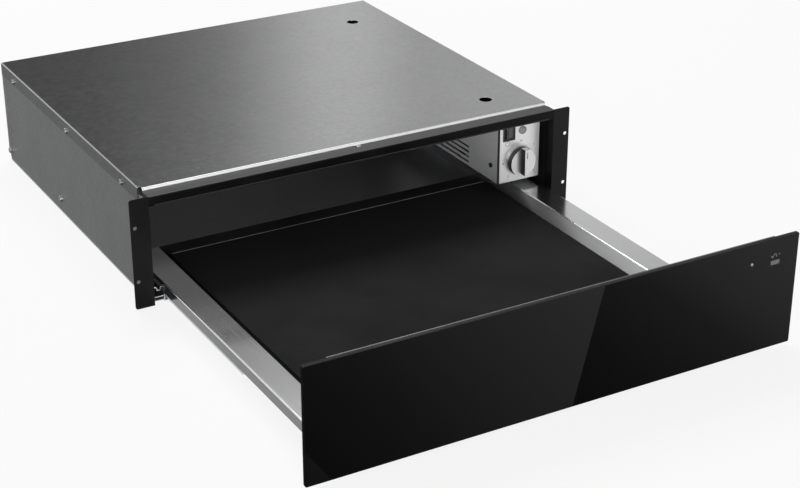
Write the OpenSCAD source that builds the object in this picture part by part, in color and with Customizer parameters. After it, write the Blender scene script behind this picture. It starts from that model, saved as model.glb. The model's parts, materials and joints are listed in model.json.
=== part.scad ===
// Built-in warming drawer, 60 cm class, with a handleless glass front, drawn out.
// Frame: +Z up, the front looks along -Y, the origin is the middle of the underside of the casing.

/* [Casing] */
// Width of the casing over its cover
casing_w = 550; // [540:1:556]
// Depth of the casing behind the mounting flanges
casing_d = 503; // [485:1:515]
// Height of the casing over its cover
casing_h = 139; // [137:1:143]
// Thickness of the base, side and rear sheets
sheet_t = 1; // [0.8:0.1:1.2]
// Thickness of the cover sheet
cover_t = 0.8; // [0.6:0.1:1]
// Height of the folded sides of the cover
cover_flange_h = 17; // [14:1:20]
// Distance of the front fold of the cover behind the mounting flanges
cover_setback = 18.5; // [17:0.5:20]
// Height of the front fold of the cover
cover_fold_h = 3.2; // [2.6:0.2:4]
// Diameter of the two locating holes in the cover
cover_hole_d = 16; // [12:1:20]
// Distance of the locating holes from the right side of the cover
cover_hole_side = 62; // [55:1:70]
// Depth of the side wraps of the rear panel
rear_wrap_d = 11; // [9:1:14]

/* [Front frame] */
// Thickness of the mounting flanges
flange_t = 1.2; // [1:0.1:2]
// Overhang of a mounting flange beyond the side of the casing
flange_lip = 20.5; // [17:0.5:21]
// Height of the mounting flanges
flange_h = 136; // [130:1:138]
// Diameter of the cabinet screw holes
flange_hole_d = 4.8; // [4:0.1:5.5]
// Distance of the cabinet screw holes from the outer edge of a flange
flange_hole_edge = 5.5; // [5:0.5:7]
// Height of the lower cabinet screw holes above the underside
flange_hole_z = 34.5; // [30:0.5:40]
// Height between the two cabinet screw holes of a flange
flange_hole_pitch = 67; // [60:1:75]
// Depth of the top bar of the front frame
bar_d = 22; // [20:1:26]
// Height of the face of the top bar
bar_h = 10.2; // [9:0.2:12]
// Height of the silicone seal under the top bar
seal_h = 1.6; // [1.2:0.2:2.4]

/* [Drawer] */
// Distance that the drawer is drawn out at rest, which is its full travel
drawer_open = 418; // [390:2:418]
// Gap between the side of the casing and a drawer rail
rail_gap = 10; // [9:0.5:12]
// Width of the top of a drawer rail
rail_w = 33; // [31:0.5:36]
// Height of the top of the drawer rails above the underside of the casing
rail_top = 33; // [32:0.5:35]
// Thickness of the sheet of the drawer rails
rail_t = 1; // [0.8:0.1:1.2]
// Height of the outer wall of a drawer rail
rail_skirt_h = 13.2; // [11:0.2:14]
// Height of the drawer floor above the underside of the casing
floor_z = 12; // [11.5:0.1:12.4]
// Clearance between the closed drawer and the rear panel
rear_clear = 5.2; // [4.6:0.2:12]
// Thickness of the heated glass plate
plate_t = 4; // [3:0.5:5]
// Height of the upper face of the heated glass plate
plate_top = 22; // [21:0.5:24]
// Gap between the heated glass plate and a drawer rail
plate_side_gap = 12; // [8:1:16]

/* [Front panel] */
// Overhang of the front glass beyond the side of the casing
front_side = 22; // [20:0.5:23.5]
// Height of the casing over that of the front glass
front_short = 7; // [5:1:11]
// Height of the lower edge of the front glass above the underside of the casing
front_z = 4.5; // [4:0.1:6]
// Thickness of the front glass
front_t = 5; // [4:0.5:6]
// Depth of the steel carrier behind the front glass
carrier_d = 3; // [2.6:0.2:6]
// Distance of the steel carrier inside the side of the casing
carrier_side = 6.5; // [3:0.5:9]
// Gap between the closed carrier and the mounting flanges
front_gap = 4; // [3:0.5:5]

/* [Controls] */
// Width of the control plate
panel_w = 58.5; // [56:0.5:62]
// Height of the lower edge of the control plate above the underside of the casing
panel_z = 41.3; // [40:0.1:44]
// Distance of the control plate from the right side of the casing
panel_side = 9.7; // [9:0.1:12]
// Diameter of the skirt of the thermostat knob
knob_d = 41; // [36:1:44]
// Depth of the thermostat knob
knob_depth = 17.5; // [14:0.5:18]
// Length of the control housing
housing_len = 262; // [250:1:300]
// Diameter of the fan impeller
impeller_d = 66; // [56:1:70]

/* [Runners] */
// Width of the middle members of the runners
runner_w = 17; // [15:0.5:18]
// Running gap in the runners
runner_gap = 0.4; // [0.3:0.1:0.6]
// Thickness of the runner sheet
runner_t = 1.2; // [1:0.1:1.4]

/* [Hidden] */
$fn = 48;
// Overrun of every cut past the faces that it opens
over = 0.5;
// Clearance between pieces that are seated but not pressed together
seat = 0.3;
// Radial clearance of a spindle or shaft in its bore
run_fit = 0.05;

// Places of the casing
front_y = -casing_d / 2;
back_y = casing_d / 2;
side_out = casing_w / 2 - cover_t;
side_in = side_out - sheet_t;
roof_z = casing_h - cover_t;
cover_front = front_y + cover_setback;
rear_out = back_y - cover_t;
rear_in = rear_out - sheet_t;
cover_corner = 4;
cover_notch_d = 6;
side_notch_h = 8;
side_notch_z = casing_h - side_notch_h;
cover_fold_r = 1.6;
cover_hole_x = casing_w / 2 - cover_hole_side;
cover_hole_rear = 82;
cover_hole_front = 66;
cover_tab_w = 5.5;
cover_tab_d = 5;
cover_tab_x = 3;
base_setback = 9;
base_fold_h = 3.6;
corner_cut = 10;
corner_slope = 3;
fold_r = 2;
wall_z = casing_h - fold_r;

// Places of the front frame
flange_leg_d = 15;
flange_z = 0.5;
flange_r = 3;
flange_front = front_y - flange_t;
leg_in = side_in - flange_t;
bar_top = casing_h - cover_fold_h;
bar_t = 1.2;
bar_r = 1.6;
bar_return_d = 13;
bar_x = leg_in;
seal_d = 5;
bar_end = 7;
flange_x = casing_w / 2 + flange_lip;
flange_hole_x = flange_x - flange_hole_edge;

// Places of the drawer when it is closed; drawn_out() moves it to where it stands at rest
carrier_back = flange_front - front_gap;
carrier_front = carrier_back - carrier_d;
glass_face = carrier_front - front_t;
rail_out = casing_w / 2 - rail_gap;
rail_in = rail_out - rail_w;
rail_r = 2.2;
drawer_back = rear_in - rear_clear;
rear_wall_t = 1;
rear_wall_face = drawer_back - rear_wall_t;
tray_t = 1;
tray_top = floor_z + tray_t;
plate_x = rail_in - plate_side_gap;
plate_rear_gap = 1.5;
plate_back = rear_wall_face - plate_rear_gap;
plate_front_gap = 4;
plate_front = carrier_back + plate_front_gap;
plate_bottom = plate_top - plate_t;
plate_r = 4;
plate_edge = 1;
frame_w = 11;

// Runner sections, shared by the fixed, middle and inner members
runner_x = rail_in + rail_w / 2;
runner_half = runner_w / 2;
race_half = runner_half + runner_gap;
member_half = race_half + runner_t;
middle_foot_z = 5.6;
middle_flange_t = 3;
middle_web_t = 4;
runner_lip = 4;
fixed_lip_z = middle_foot_z + middle_flange_t + runner_gap;
runner_top = rail_top - rail_t;
inner_lip_z = 20.5;
middle_head_z = inner_lip_z + runner_t + runner_gap;
hood_z = 15.8;
hood_r = 2.2;
shelf_z = 7.4;
runner_front_inset = 3.5;
runner_rear_inset = 5;
middle_short = 38;
base_fold_x = runner_x - member_half - seat;
ball_d = 2.6;
ball_pitch = 22;
ball_count = 8;

// Places of the controls
plate_face_setback = 20;
panel_t = 1;
panel_x1 = casing_w / 2 - panel_side;
panel_x0 = panel_x1 - panel_w;
panel_face = front_y + plate_face_setback;
panel_back = panel_face + panel_t;
panel_top_gap = 4.6;
panel_top = casing_h - panel_top_gap;
housing_t = 0.8;
housing_step = 1.8;
housing_x0 = panel_x0 - housing_step;
housing_x1 = panel_x1 + housing_step;
housing_z = panel_z - seat;
housing_front = panel_back;
housing_back = housing_front + housing_len;
housing_rim = 5;
louvre_count = 4;
louvre_pitch = 6.8;
louvre_h = 3;
louvre_len = 92;
louvre_front = 69.5;
louvre_z = 5.4;
switch_h = 25;
panel_spare = panel_top - panel_z - knob_d - switch_h;
knob_aside = 0.9;
knob_edge_share = 0.22878;
knob_x = panel_x0 + panel_w / 2 + knob_aside;
knob_z = panel_z + knob_d / 2 + panel_spare * knob_edge_share;
spindle_d = 6;
spindle_flat = 1.5;
thermostat_d = 28;
thermostat_len = 22;
thermostat_bush_d = 9;
knob_clear = 0.8;
skirt_h = 6;
grip_w = 6.4;
grip_h = knob_depth - knob_clear - skirt_h;
knob_wall = 1.6;
knob_neck_d = 12;
switch_side = 13;
switch_x = panel_x0 + switch_side;
switch_w = 17.4;
switch_edge_share = 0.89668;
switch_z = panel_top - switch_h / 2 - panel_spare * switch_edge_share;
switch_rim = 1.4;
switch_cut_w = 14.6;
switch_cut_h = 21.6;
switch_depth = 18;
switch_wall = 0.8;
rocker_w = 12.6;
rocker_h = 17.6;
rocker_rise = 1.9;
rocker_pivot_depth = 5;
rocker_pivot_r = 1.2;
rocker_tilt = 7;
lamp_side = 32.8;
lamp_over_switch = 11;
lamp_x = panel_x0 + lamp_side;
lamp_z = switch_z + lamp_over_switch;
lamp_d = 11;
lamp_bore_d = 8;
lamp_rise = 3;
lamp_len = 16;

// Places of the fan, inside the control housing
fan_back = 116;
fan_up = 12;
fan_y = housing_front + fan_back;
fan_z = housing_z + housing_t + impeller_d / 2 + fan_up;
fan_gap = 5;
fan_wall = 1.2;
fan_w = 27;
impeller_w = 19;
blade_count = 24;
blade_t = 0.8;
blade_len = 9;
hub_d = 20;
hub_plate_t = 1.2;
impeller_shaft_d = 4;
motor_d = 46;
motor_len = 22;
motor_ear = 3;
foot_w = 30;
foot_d = 12;

// Places of the wiring
lead_d = 7;
lead_side = 34;
lead_up = 34;
lead_x = housing_x0 + lead_side;
lead_z = housing_z + lead_up;
grommet_flange = 2;
grommet_t = 1.6;
gland_hole_d = 12;
gland_out = 9;
gland_nut_t = 4;
gland_nut_d = 20;
gland_bore_d = 8;
block_w = 30;
block_d = 22;
block_h = 15;
block_back = 3;
block_poles = 3;

// Screws
screw_head_d = 7.4;
screw_head_h = 2;
screw_slot_w = 1.1;
screw_slot_d = 0.9;
screw_shank_d = 3.4;
screw_grip = 3;
cover_screw_down = 11.6;
cover_screw_z = roof_z - cover_screw_down;
cover_screw_front = 74.5;
cover_screw_middle = 256;
cover_screw_rear = 48;
low_screw_z = 15;
low_screw_back = 5.5;
runner_screw_d = 9;
runner_screw_z = 18;
runner_screw_rear = 201;
runner_screw_len = side_out - leg_in + runner_t;
housing_screw_back = 16;
housing_screw_up = 20.6;
small_head_d = 6;
small_head_h = 1.6;

// Inside the drawer floor
mat_gap = 1;
mat_t = 2;
heater_w = 5;
heater_t = 1.2;
heater_runs = 12;
heater_inset = 26;
cutout_d = 15;
cutout_h = 3.2;

// Front panel
carrier_t = 0.8;
carrier_top_gap = 1;
carrier_bottom_gap = 4;
front_h = casing_h - front_short;
carrier_z0 = front_z + carrier_bottom_gap;
carrier_z1 = front_z + front_h - carrier_top_gap;
glass_r = 1.6;
glass_chamfer = 0.8;
bracket_len = 46;
bracket_t = 2;
bracket_h = 11.8;
front_screw_side = 5;
front_screw_z = 26.5;
bumper_d = 7;
light_x = 62.6;
light_down = 23.7;
light_z = front_h - light_down;
light_d = 2.4;
light_board = 14;
light_board_t = carrier_d / 2 - carrier_t;

// Basic shapes
module block(lo, hi) {
    translate(lo) cube([hi.x - lo.x, hi.y - lo.y, hi.z - lo.z]);
}

// A flat outline in x and z, extruded along y from y0 to y1
module along_y(y0, y1) {
    translate([0, y1, 0]) rotate([90, 0, 0]) linear_extrude(y1 - y0) children();
}

// A flat outline in y and z, extruded along x from x0 to x1
module along_x(x0, x1) {
    translate([x0, 0, 0]) rotate([90, 0, 90]) linear_extrude(x1 - x0) children();
}

module along_z(z0, z1) {
    translate([0, 0, z0]) linear_extrude(z1 - z0) children();
}

module flat(lo, hi) {
    translate(lo) square([hi.x - lo.x, hi.y - lo.y]);
}

// A flat rectangle with round corners
module soft_flat(lo, hi, r) {
    flat([lo.x + r, lo.y], [hi.x - r, hi.y]);
    flat([lo.x, lo.y + r], [hi.x, hi.y - r]);
    for (x = [lo.x + r, hi.x - r], y = [lo.y + r, hi.y - r]) translate([x, y]) circle(r);
}

// A folded hood: a flat top with two walls that hang from it and round folds between them
module hood_flat(lo, hi, t, r) {
    intersection() {
        difference() {
            soft_flat([lo.x, lo.y - r * 2], hi, r);
            soft_flat([lo.x + t, lo.y - r * 2 - over], [hi.x - t, hi.y - t], r - t);
        }
        flat(lo, hi);
    }
}

module rod_x(x0, x1, y, z, d) {
    translate([x0, y, z]) rotate([0, 90, 0]) cylinder(h = x1 - x0, d = d);
}

module rod_y(y0, y1, x, z, d) {
    translate([x, y1, z]) rotate([90, 0, 0]) cylinder(h = y1 - y0, d = d);
}

module rod_z(z0, z1, x, y, d) {
    translate([x, y, z0]) cylinder(h = z1 - z0, d = d);
}

// The same piece on the right side
module mirrored_x() {
    mirror([1, 0, 0]) children();
}

// The drawer's pieces are drawn closed and moved to where they stand at rest
module drawn_out(share = 1) {
    translate([0, -drawer_open * share, 0]) children();
}

// A screw with a cross recess, its head towards +z and its seat at z = 0
module screw(head_d, head_h, shank_len) {
    difference() {
        union() {
            cylinder(h = head_h, d = head_d);
            translate([0, 0, -shank_len]) cylinder(h = shank_len, d = screw_shank_d);
        }
        for (turn = [0, 90]) rotate([0, 0, turn]) {
            block([-head_d / 3, -screw_slot_w / 2, head_h - screw_slot_d],
                [head_d / 3, screw_slot_w / 2, head_h + over]);
        }
    }
}

// Casing
module base_panel() {
    color("dimgray") {
        y0 = front_y + base_setback;
        difference() {
            union() {
                block([-side_in, y0, 0], [side_in, rear_in, sheet_t]);
                block([-base_fold_x, y0, 0], [base_fold_x, y0 + sheet_t, base_fold_h]);
            }
            for (side = [-1, 1]) translate([side * (side_in - flange_t / 2), y0, 0]) {
                cube([flange_t + seat, flange_leg_d * 2, base_fold_h * 3], center = true);
            }
        }
    }
}

module side_panel() {
    color("silver") difference() {
        along_x(-side_out, -side_in) polygon([
            [front_y, 0], [rear_in - corner_slope, 0], [rear_in, corner_cut],
            [rear_in, wall_z], [cover_front + cover_notch_d, wall_z],
            [cover_front + cover_notch_d, side_notch_z], [front_y, side_notch_z]
        ]);
        cover_screw_places() rod_z(-sheet_t - cover_t - over, over, 0, 0, screw_shank_d + seat);
        runner_screw_places() rod_z(-sheet_t - over, over, 0, 0, screw_shank_d + seat);
        low_screw_places() rod_z(-sheet_t - cover_t - over, over, 0, 0, screw_shank_d + seat);
    }
}

module side_panel_left() {
    side_panel();
}

module side_panel_right() {
    mirrored_x() side_panel();
}

// The rear panel wraps round both sides
module rear_panel() {
    wrap_top = casing_h - cover_flange_h - seat;
    color("silver") difference() {
        union() {
            block([-casing_w / 2, rear_in, corner_cut], [casing_w / 2, rear_out, wall_z]);
            block([-casing_w / 2 + corner_slope, rear_in, 0],
                [casing_w / 2 - corner_slope, rear_out, corner_cut]);
            for (side = [0, 1]) mirror([side, 0, 0]) {
                block([-casing_w / 2, rear_out - rear_wrap_d, corner_cut], [-side_out, rear_out, wrap_top]);
            }
        }
        for (side = [0, 1]) mirror([side, 0, 0]) {
            block([-casing_w / 2 - over, rear_in - over, wrap_top],
                [-side_out, rear_out + over, roof_z + over]);
            low_screw_places() rod_z(-cover_t - over, over, 0, 0, screw_shank_d + seat);
        }
        rod_y(rear_in - over, rear_out + over, lead_x, lead_z, gland_hole_d);
    }
}

module top_cover() {
    flange_z0 = casing_h - cover_flange_h;
    color("silver") difference() {
        union() {
            along_y(cover_front + cover_notch_d, back_y) {
                hood_flat([-casing_w / 2, flange_z0], [casing_w / 2, casing_h], cover_t, fold_r);
            }
            along_x(-casing_w / 2 + cover_corner, casing_w / 2 - cover_corner) {
                hood_flat([cover_front, bar_top], [back_y, casing_h], cover_t, cover_fold_r);
            }
            block([-side_in, rear_out, flange_z0], [side_in, back_y, casing_h - cover_t]);
            block([cover_tab_x - cover_tab_w / 2, cover_front - cover_tab_d, bar_top],
                [cover_tab_x + cover_tab_w / 2, cover_front + cover_t, bar_top + cover_t]);
        }
        for (y = [front_y + cover_hole_front, back_y - cover_hole_rear]) {
            rod_z(roof_z - over, casing_h + over, cover_hole_x, y, cover_hole_d);
        }
        for (side = [0, 1]) mirror([side, 0, 0]) {
            cover_screw_places() rod_z(-cover_t - over, over, 0, 0, screw_shank_d + seat);
        }
    }
}

// Front frame
module mounting_flange() {
    z1 = flange_z + flange_h;
    color("black") difference() {
        union() {
            along_y(flange_front, front_y) difference() {
                soft_flat([-flange_x, flange_z], [-leg_in + flange_r, z1], flange_r);
                flat([-leg_in, flange_z - over], [-leg_in + flange_r + over, z1 + over]);
            }
            block([-side_in, flange_front, flange_z + flange_r], [-leg_in, front_y + flange_leg_d, bar_top]);
        }
        for (z = [flange_hole_z, flange_hole_z + flange_hole_pitch]) {
            rod_y(flange_front - over, front_y + over, -flange_hole_x, z, flange_hole_d);
        }
    }
}

module mounting_flange_left() {
    mounting_flange();
}

module mounting_flange_right() {
    mirrored_x() mounting_flange();
}

module frame_bar() {
    z0 = bar_top - bar_h;
    y1 = flange_front + bar_d;
    color("black") {
        along_x(-bar_x, bar_x) intersection() {
            difference() {
                soft_flat([flange_front, z0], [y1 + bar_r * 2, bar_top], bar_r);
                soft_flat([flange_front + bar_t, z0 + bar_t], [y1 + bar_r * 2 + over, bar_top - bar_t],
                    bar_r - bar_t);
                flat([flange_front + bar_return_d, z0 - over], [y1 + bar_r * 3, z0 + bar_t + over]);
            }
            flat([flange_front, z0], [y1, bar_top]);
        }
        for (side = [0, 1]) mirror([side, 0, 0]) {
            block([-bar_x, flange_front, z0 - seal_h],
                [-bar_x + bar_end, flange_front + bar_return_d, z0 + bar_t]);
        }
    }
}

module front_seal() {
    z1 = bar_top - bar_h;
    color("black") along_x(-bar_x + bar_end, bar_x - bar_end) {
        translate([flange_front + seal_h / 2, z1 - seal_h / 2]) circle(d = seal_h);
        flat([flange_front + seal_h / 2, z1 - seal_h], [flange_front + seal_d, z1]);
    }
}

// Runners: the left one is drawn, at x = -runner_x
module runner_fixed() {
    color("gainsboro") difference() {
        runner_fixed_profile();
        runner_screw_places() rod_z(-runner_screw_len - over, over, 0, 0, screw_shank_d + seat);
    }
}

module runner_fixed_profile() {
    along_y(front_y + runner_front_inset, rear_in - runner_rear_inset) {
        x = -runner_x;
        for (side = [-1, 1]) {
            wall = x + side * (race_half + runner_t / 2);
            flat([wall - runner_t / 2, sheet_t], [wall + runner_t / 2, fixed_lip_z + runner_t]);
            lip = x + side * (member_half - runner_lip / 2);
            flat([lip - runner_lip / 2, fixed_lip_z], [lip + runner_lip / 2, fixed_lip_z + runner_t]);
        }
        flat([x - member_half, sheet_t], [x + member_half, sheet_t + runner_t]);
        flat([-leg_in, shelf_z], [x - race_half, shelf_z + runner_t]);
        flat([-leg_in, shelf_z], [-leg_in + runner_t, hood_z + hood_r]);
        translate([-leg_in + hood_r + runner_t / 2, hood_z + hood_r]) difference() {
            circle(hood_r + runner_t / 2);
            circle(hood_r - runner_t / 2);
            flat([-hood_r * 2, -hood_r * 2], [hood_r * 2, 0]);
        }
        hood_x = -leg_in + hood_r * 2;
        flat([hood_x, hood_z], [hood_x + runner_t, hood_z + hood_r]);
        flat([hood_x, hood_z], [hood_x + hood_r * 2, hood_z + runner_t]);
    }
}

module runner_fixed_left() {
    runner_fixed();
}

module runner_fixed_right() {
    mirrored_x() runner_fixed();
}

module runner_middle() {
    x = -runner_x;
    y0 = front_y + runner_front_inset + over;
    y1 = rear_in - runner_rear_inset - middle_short;
    color("gainsboro") drawn_out(1 / 2) along_y(y0, y1) {
        flat([x - runner_half, middle_foot_z], [x + runner_half, middle_foot_z + middle_flange_t]);
        flat([x - middle_web_t / 2, middle_foot_z],
            [x + middle_web_t / 2, runner_top - runner_t - runner_gap]);
        flat([x - runner_half, middle_head_z], [x + runner_half, middle_head_z + middle_flange_t]);
    }
}

module runner_middle_left() {
    runner_middle();
}

module runner_middle_right() {
    mirrored_x() runner_middle();
}

module runner_inner() {
    x = -runner_x;
    color("gainsboro") drawn_out() along_y(carrier_back + runner_front_inset,
        drawer_back - runner_rear_inset) {
        flat([x - member_half, runner_top - runner_t], [x + member_half, runner_top]);
        for (side = [-1, 1]) {
            wall = x + side * (race_half + runner_t / 2);
            flat([wall - runner_t / 2, inner_lip_z], [wall + runner_t / 2, runner_top]);
            lip = x + side * (member_half - runner_lip / 2);
            flat([lip - runner_lip / 2, inner_lip_z], [lip + runner_lip / 2, inner_lip_z + runner_t]);
        }
    }
}

module runner_inner_left() {
    runner_inner();
}

module runner_inner_right() {
    mirrored_x() runner_inner();
}

// Rows of balls that ride on the feet of both middle members, over their cages
module runner_balls() {
    y1 = rear_in - runner_rear_inset - middle_short;
    cage_h = 0.8;
    cage_z = middle_foot_z - cage_h;
    color("silver") drawn_out(1 / 2) for (side = [0, 1]) mirror([side, 0, 0]) {
        block([-runner_x - ball_d, y1 - ball_pitch * ball_count, cage_z],
            [-runner_x + ball_d, y1 - ball_pitch / 2, middle_foot_z]);
        for (k = [0:ball_count - 1]) {
            translate([-runner_x, y1 - ball_pitch * (k + 3 / 4),
                sheet_t + runner_t + runner_gap + ball_d / 2]) {
                sphere(d = ball_d);
            }
        }
    }
}

// Control housing
module control_housing() {
    z1 = roof_z;
    color("gray") difference() {
        union() {
            difference() {
                block([housing_x0, housing_front, housing_z], [housing_x1, housing_back, z1]);
                block([housing_x0 + housing_t, housing_front + housing_t, housing_z + housing_t],
                    [housing_x1 - housing_t, housing_back - housing_t, z1 + over]);
            }
            for (x = [housing_x0 + housing_t, housing_x1 - housing_t - housing_rim]) {
                block([x, housing_front + housing_t, z1 - housing_t],
                    [x + housing_rim, housing_back - housing_t, z1]);
            }
        }
        block([housing_x0 + housing_rim, housing_front - over, housing_z + housing_rim],
            [housing_x1 - housing_rim, housing_front + housing_t + over, z1 + over]);
        for (k = [0:louvre_count - 1]) {
            y = housing_front + louvre_front;
            z = housing_z + louvre_z + k * louvre_pitch - louvre_h / 2;
            block([housing_x0 - over, y, z], [housing_x0 + housing_t + over, y + louvre_len, z + louvre_h]);
        }
        rod_y(housing_back - housing_t - over, housing_back + over, lead_x, lead_z, lead_d + grommet_t * 2);
        housing_screw_places() rod_z(-housing_t - over, over, 0, 0, screw_shank_d + seat);
    }
}

module control_plate() {
    color("lightgray") difference() {
        block([panel_x0, panel_face, panel_z], [panel_x1, panel_back, panel_top]);
        block([switch_x - switch_cut_w / 2, panel_face - over, switch_z + (switch_h - switch_cut_h) / 2],
            [switch_x + switch_cut_w / 2, panel_back + over, switch_z + (switch_h + switch_cut_h) / 2]);
        rod_y(panel_face - over, panel_back + over, lamp_x, lamp_z, lamp_bore_d + seat);
        rod_y(panel_face - over, panel_back + over, knob_x, knob_z, thermostat_bush_d + seat);
    }
}

module switch_body() {
    zc = switch_z + switch_h / 2;
    color("black") difference() {
        union() {
            block([switch_x - switch_w / 2, panel_face - switch_rim, switch_z],
                [switch_x + switch_w / 2, panel_face, switch_z + switch_h]);
            block([switch_x - switch_cut_w / 2 + seat / 2, panel_face - seat,
                zc - switch_cut_h / 2 + seat / 2],
                [switch_x + switch_cut_w / 2 - seat / 2, panel_back + switch_depth,
                    zc + switch_cut_h / 2 - seat / 2]);
        }
        block([switch_x - rocker_w / 2 - seat, panel_face - switch_rim - over, zc - rocker_h / 2 - seat],
            [switch_x + rocker_w / 2 + seat, panel_face + rocker_pivot_depth * 2,
                zc + rocker_h / 2 + seat]);
        rod_z(zc - switch_cut_h / 2 + switch_wall, zc + switch_cut_h / 2 - switch_wall,
            switch_x, panel_face + rocker_pivot_depth, (rocker_pivot_r + run_fit) * 2);
    }
}

// The rocker turns on two pins about the upright axis at its middle
module switch_rocker() {
    zc = switch_z + switch_h / 2;
    half = rocker_w / 2 - seat * 2;
    pin_reach = switch_cut_h / 2 - switch_wall - seat;
    color("black") translate([switch_x, panel_face + rocker_pivot_depth, 0]) rotate([0, 0, rocker_tilt]) {
        front = rocker_pivot_depth + rocker_rise;
        along_z(zc - rocker_h / 2, zc + rocker_h / 2) polygon([
            [-half, -front], [0, -front + rocker_rise * 2 / 3], [half, -front],
            [half * 2 / 3, rocker_pivot_r], [-half * 2 / 3, rocker_pivot_r]
        ]);
        rod_z(zc - pin_reach, zc + pin_reach, 0, 0, rocker_pivot_r * 2);
    }
}

module lamp_lens() {
    color("orange") translate([lamp_x, panel_face, lamp_z]) rotate([90, 0, 0]) {
        cylinder(h = lamp_rise / 2, d = lamp_d);
        translate([0, 0, lamp_rise / 2]) intersection() {
            scale_r = (lamp_d * lamp_d / 4 + lamp_rise * lamp_rise / 4) / lamp_rise;
            translate([0, 0, lamp_rise / 2 - scale_r]) sphere(scale_r);
            cylinder(h = lamp_rise, d = lamp_d);
        }
    }
}

module lamp_body() {
    color("white") {
        rod_y(panel_face, panel_back + lamp_len, lamp_x, lamp_z, lamp_bore_d);
        rod_y(panel_back, panel_back + panel_t * 2, lamp_x, lamp_z, lamp_d);
    }
}

module thermostat() {
    color("beige") difference() {
        union() {
            rod_y(panel_back, panel_back + thermostat_len, knob_x, knob_z, thermostat_d);
            rod_y(panel_face, panel_back + over, knob_x, knob_z, thermostat_bush_d);
        }
        rod_y(panel_face - over, panel_back + thermostat_len - panel_t, knob_x, knob_z,
            spindle_d + run_fit * 2);
    }
}

module thermostat_spindle() {
    tip = panel_face - knob_depth + knob_wall + seat;
    color("silver") difference() {
        rod_y(tip, panel_back + thermostat_len - panel_t - seat, knob_x, knob_z, spindle_d);
        block([knob_x - spindle_d, tip - over, knob_z + spindle_d / 2 - spindle_flat],
            [knob_x + spindle_d, panel_face - knob_clear - skirt_h / 2, knob_z + spindle_d]);
    }
}

module knob() {
    y1 = panel_face - knob_clear;
    y0 = y1 - skirt_h;
    color("silver") difference() {
        union() {
            difference() {
                rod_y(y0, y1, knob_x, knob_z, knob_d);
                rod_y(y0 + knob_wall, y1 + over, knob_x, knob_z, knob_d - knob_wall * 2);
            }
            rod_y(y0, y1, knob_x, knob_z, knob_neck_d);
            intersection() {
                rod_y(y0 - grip_h, y0 + knob_wall / 2, knob_x, knob_z, knob_d);
                block([knob_x - grip_w / 2, y0 - grip_h, knob_z - knob_d],
                    [knob_x + grip_w / 2, y0 + knob_wall, knob_z + knob_d]);
            }
        }
        difference() {
            rod_y(y1 - knob_depth + knob_clear + knob_wall, y1 + over, knob_x, knob_z, spindle_d);
            block([knob_x - spindle_d, y0 - grip_h - over, knob_z + spindle_d / 2 - spindle_flat],
                [knob_x + spindle_d, y1 - skirt_h / 2, knob_z + spindle_d]);
        }
    }
}

// Fan: a scroll on the louvred wall, with its motor on the far side
module fan_housing() {
    x0 = housing_x0 + housing_t;
    x1 = x0 + fan_w;
    outer = impeller_d + fan_gap * 2 + fan_wall * 2;
    color("dimgray") difference() {
        union() {
            rod_x(x0, x1, fan_y, fan_z, outer);
            block([x0, fan_y - outer / 2 - foot_d, fan_z - outer / 6], [x1, fan_y, fan_z + outer / 2]);
            block([x0, fan_y - foot_w / 2, housing_z + housing_t], [x1, fan_y + foot_w / 2, fan_z]);
        }
        rod_x(x0 + fan_wall, x1 - fan_wall, fan_y, fan_z, outer - fan_wall * 2);
        block([x0 + fan_wall, fan_y - outer / 2 - foot_d - over, fan_z - outer / 6 + fan_wall],
            [x1 - fan_wall, fan_y, fan_z + outer / 2 - fan_wall]);
        rod_x(x0 - over, x0 + fan_wall + over, fan_y, fan_z, impeller_d - blade_len);
        rod_x(x1 - fan_wall - over, x1 + over, fan_y, fan_z, hub_d / 2);
    }
}

module fan_motor() {
    x0 = housing_x0 + housing_t + fan_w;
    color("silver") difference() {
        union() {
            rod_x(x0, x0 + motor_len, fan_y, fan_z, motor_d);
            block([x0, fan_y - motor_d / 2 - motor_ear * 2, fan_z - motor_ear],
                [x0 + motor_ear, fan_y + motor_d / 2 + motor_ear * 2, fan_z + motor_ear]);
        }
        rod_x(x0 - over, x0 + motor_len - motor_ear, fan_y, fan_z, impeller_shaft_d + run_fit * 2);
    }
}

module fan_impeller() {
    x0 = housing_x0 + housing_t + fan_wall + (fan_w - fan_wall * 2 - impeller_w) / 2;
    x1 = x0 + impeller_w;
    motor_x = housing_x0 + housing_t + fan_w + motor_len - motor_ear - seat;
    color("dimgray") {
        rod_x(x1 - hub_plate_t, x1, fan_y, fan_z, impeller_d);
        rod_x(x1 - hub_plate_t * 4, x1, fan_y, fan_z, hub_d);
        rod_x(x1 - hub_plate_t, motor_x, fan_y, fan_z, impeller_shaft_d);
        translate([x0, fan_y, fan_z]) rotate([0, 90, 0]) difference() {
            cylinder(h = hub_plate_t, d = impeller_d);
            translate([0, 0, -over]) cylinder(h = hub_plate_t + over * 2, d = impeller_d - blade_t * 4);
        }
        for (k = [0:blade_count - 1]) {
            translate([x0, fan_y, fan_z]) rotate([k * 360 / blade_count, 0, 0]) {
                block([0, -blade_t / 2, impeller_d / 2 - blade_len],
                    [impeller_w, blade_t / 2, impeller_d / 2 - blade_t / 2]);
            }
        }
    }
}

// Wiring: the lead runs straight from the gland to the terminals in the housing
module terminal_block() {
    y1 = housing_back - housing_t - block_back;
    z0 = housing_z + housing_t;
    color("ivory") difference() {
        block([lead_x - block_w / 2, y1 - block_d, z0], [lead_x + block_w / 2, y1, z0 + block_h]);
        for (k = [0:block_poles - 1]) {
            x = lead_x + (k - (block_poles - 1) / 2) * block_w / block_poles;
            rod_z(z0 + block_h / 2, z0 + block_h + over, x, y1 - block_d / 3, screw_shank_d);
            rod_z(z0 + block_h / 2, z0 + block_h + over, x, y1 - block_d * 2 / 3, screw_shank_d);
        }
    }
}

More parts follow.
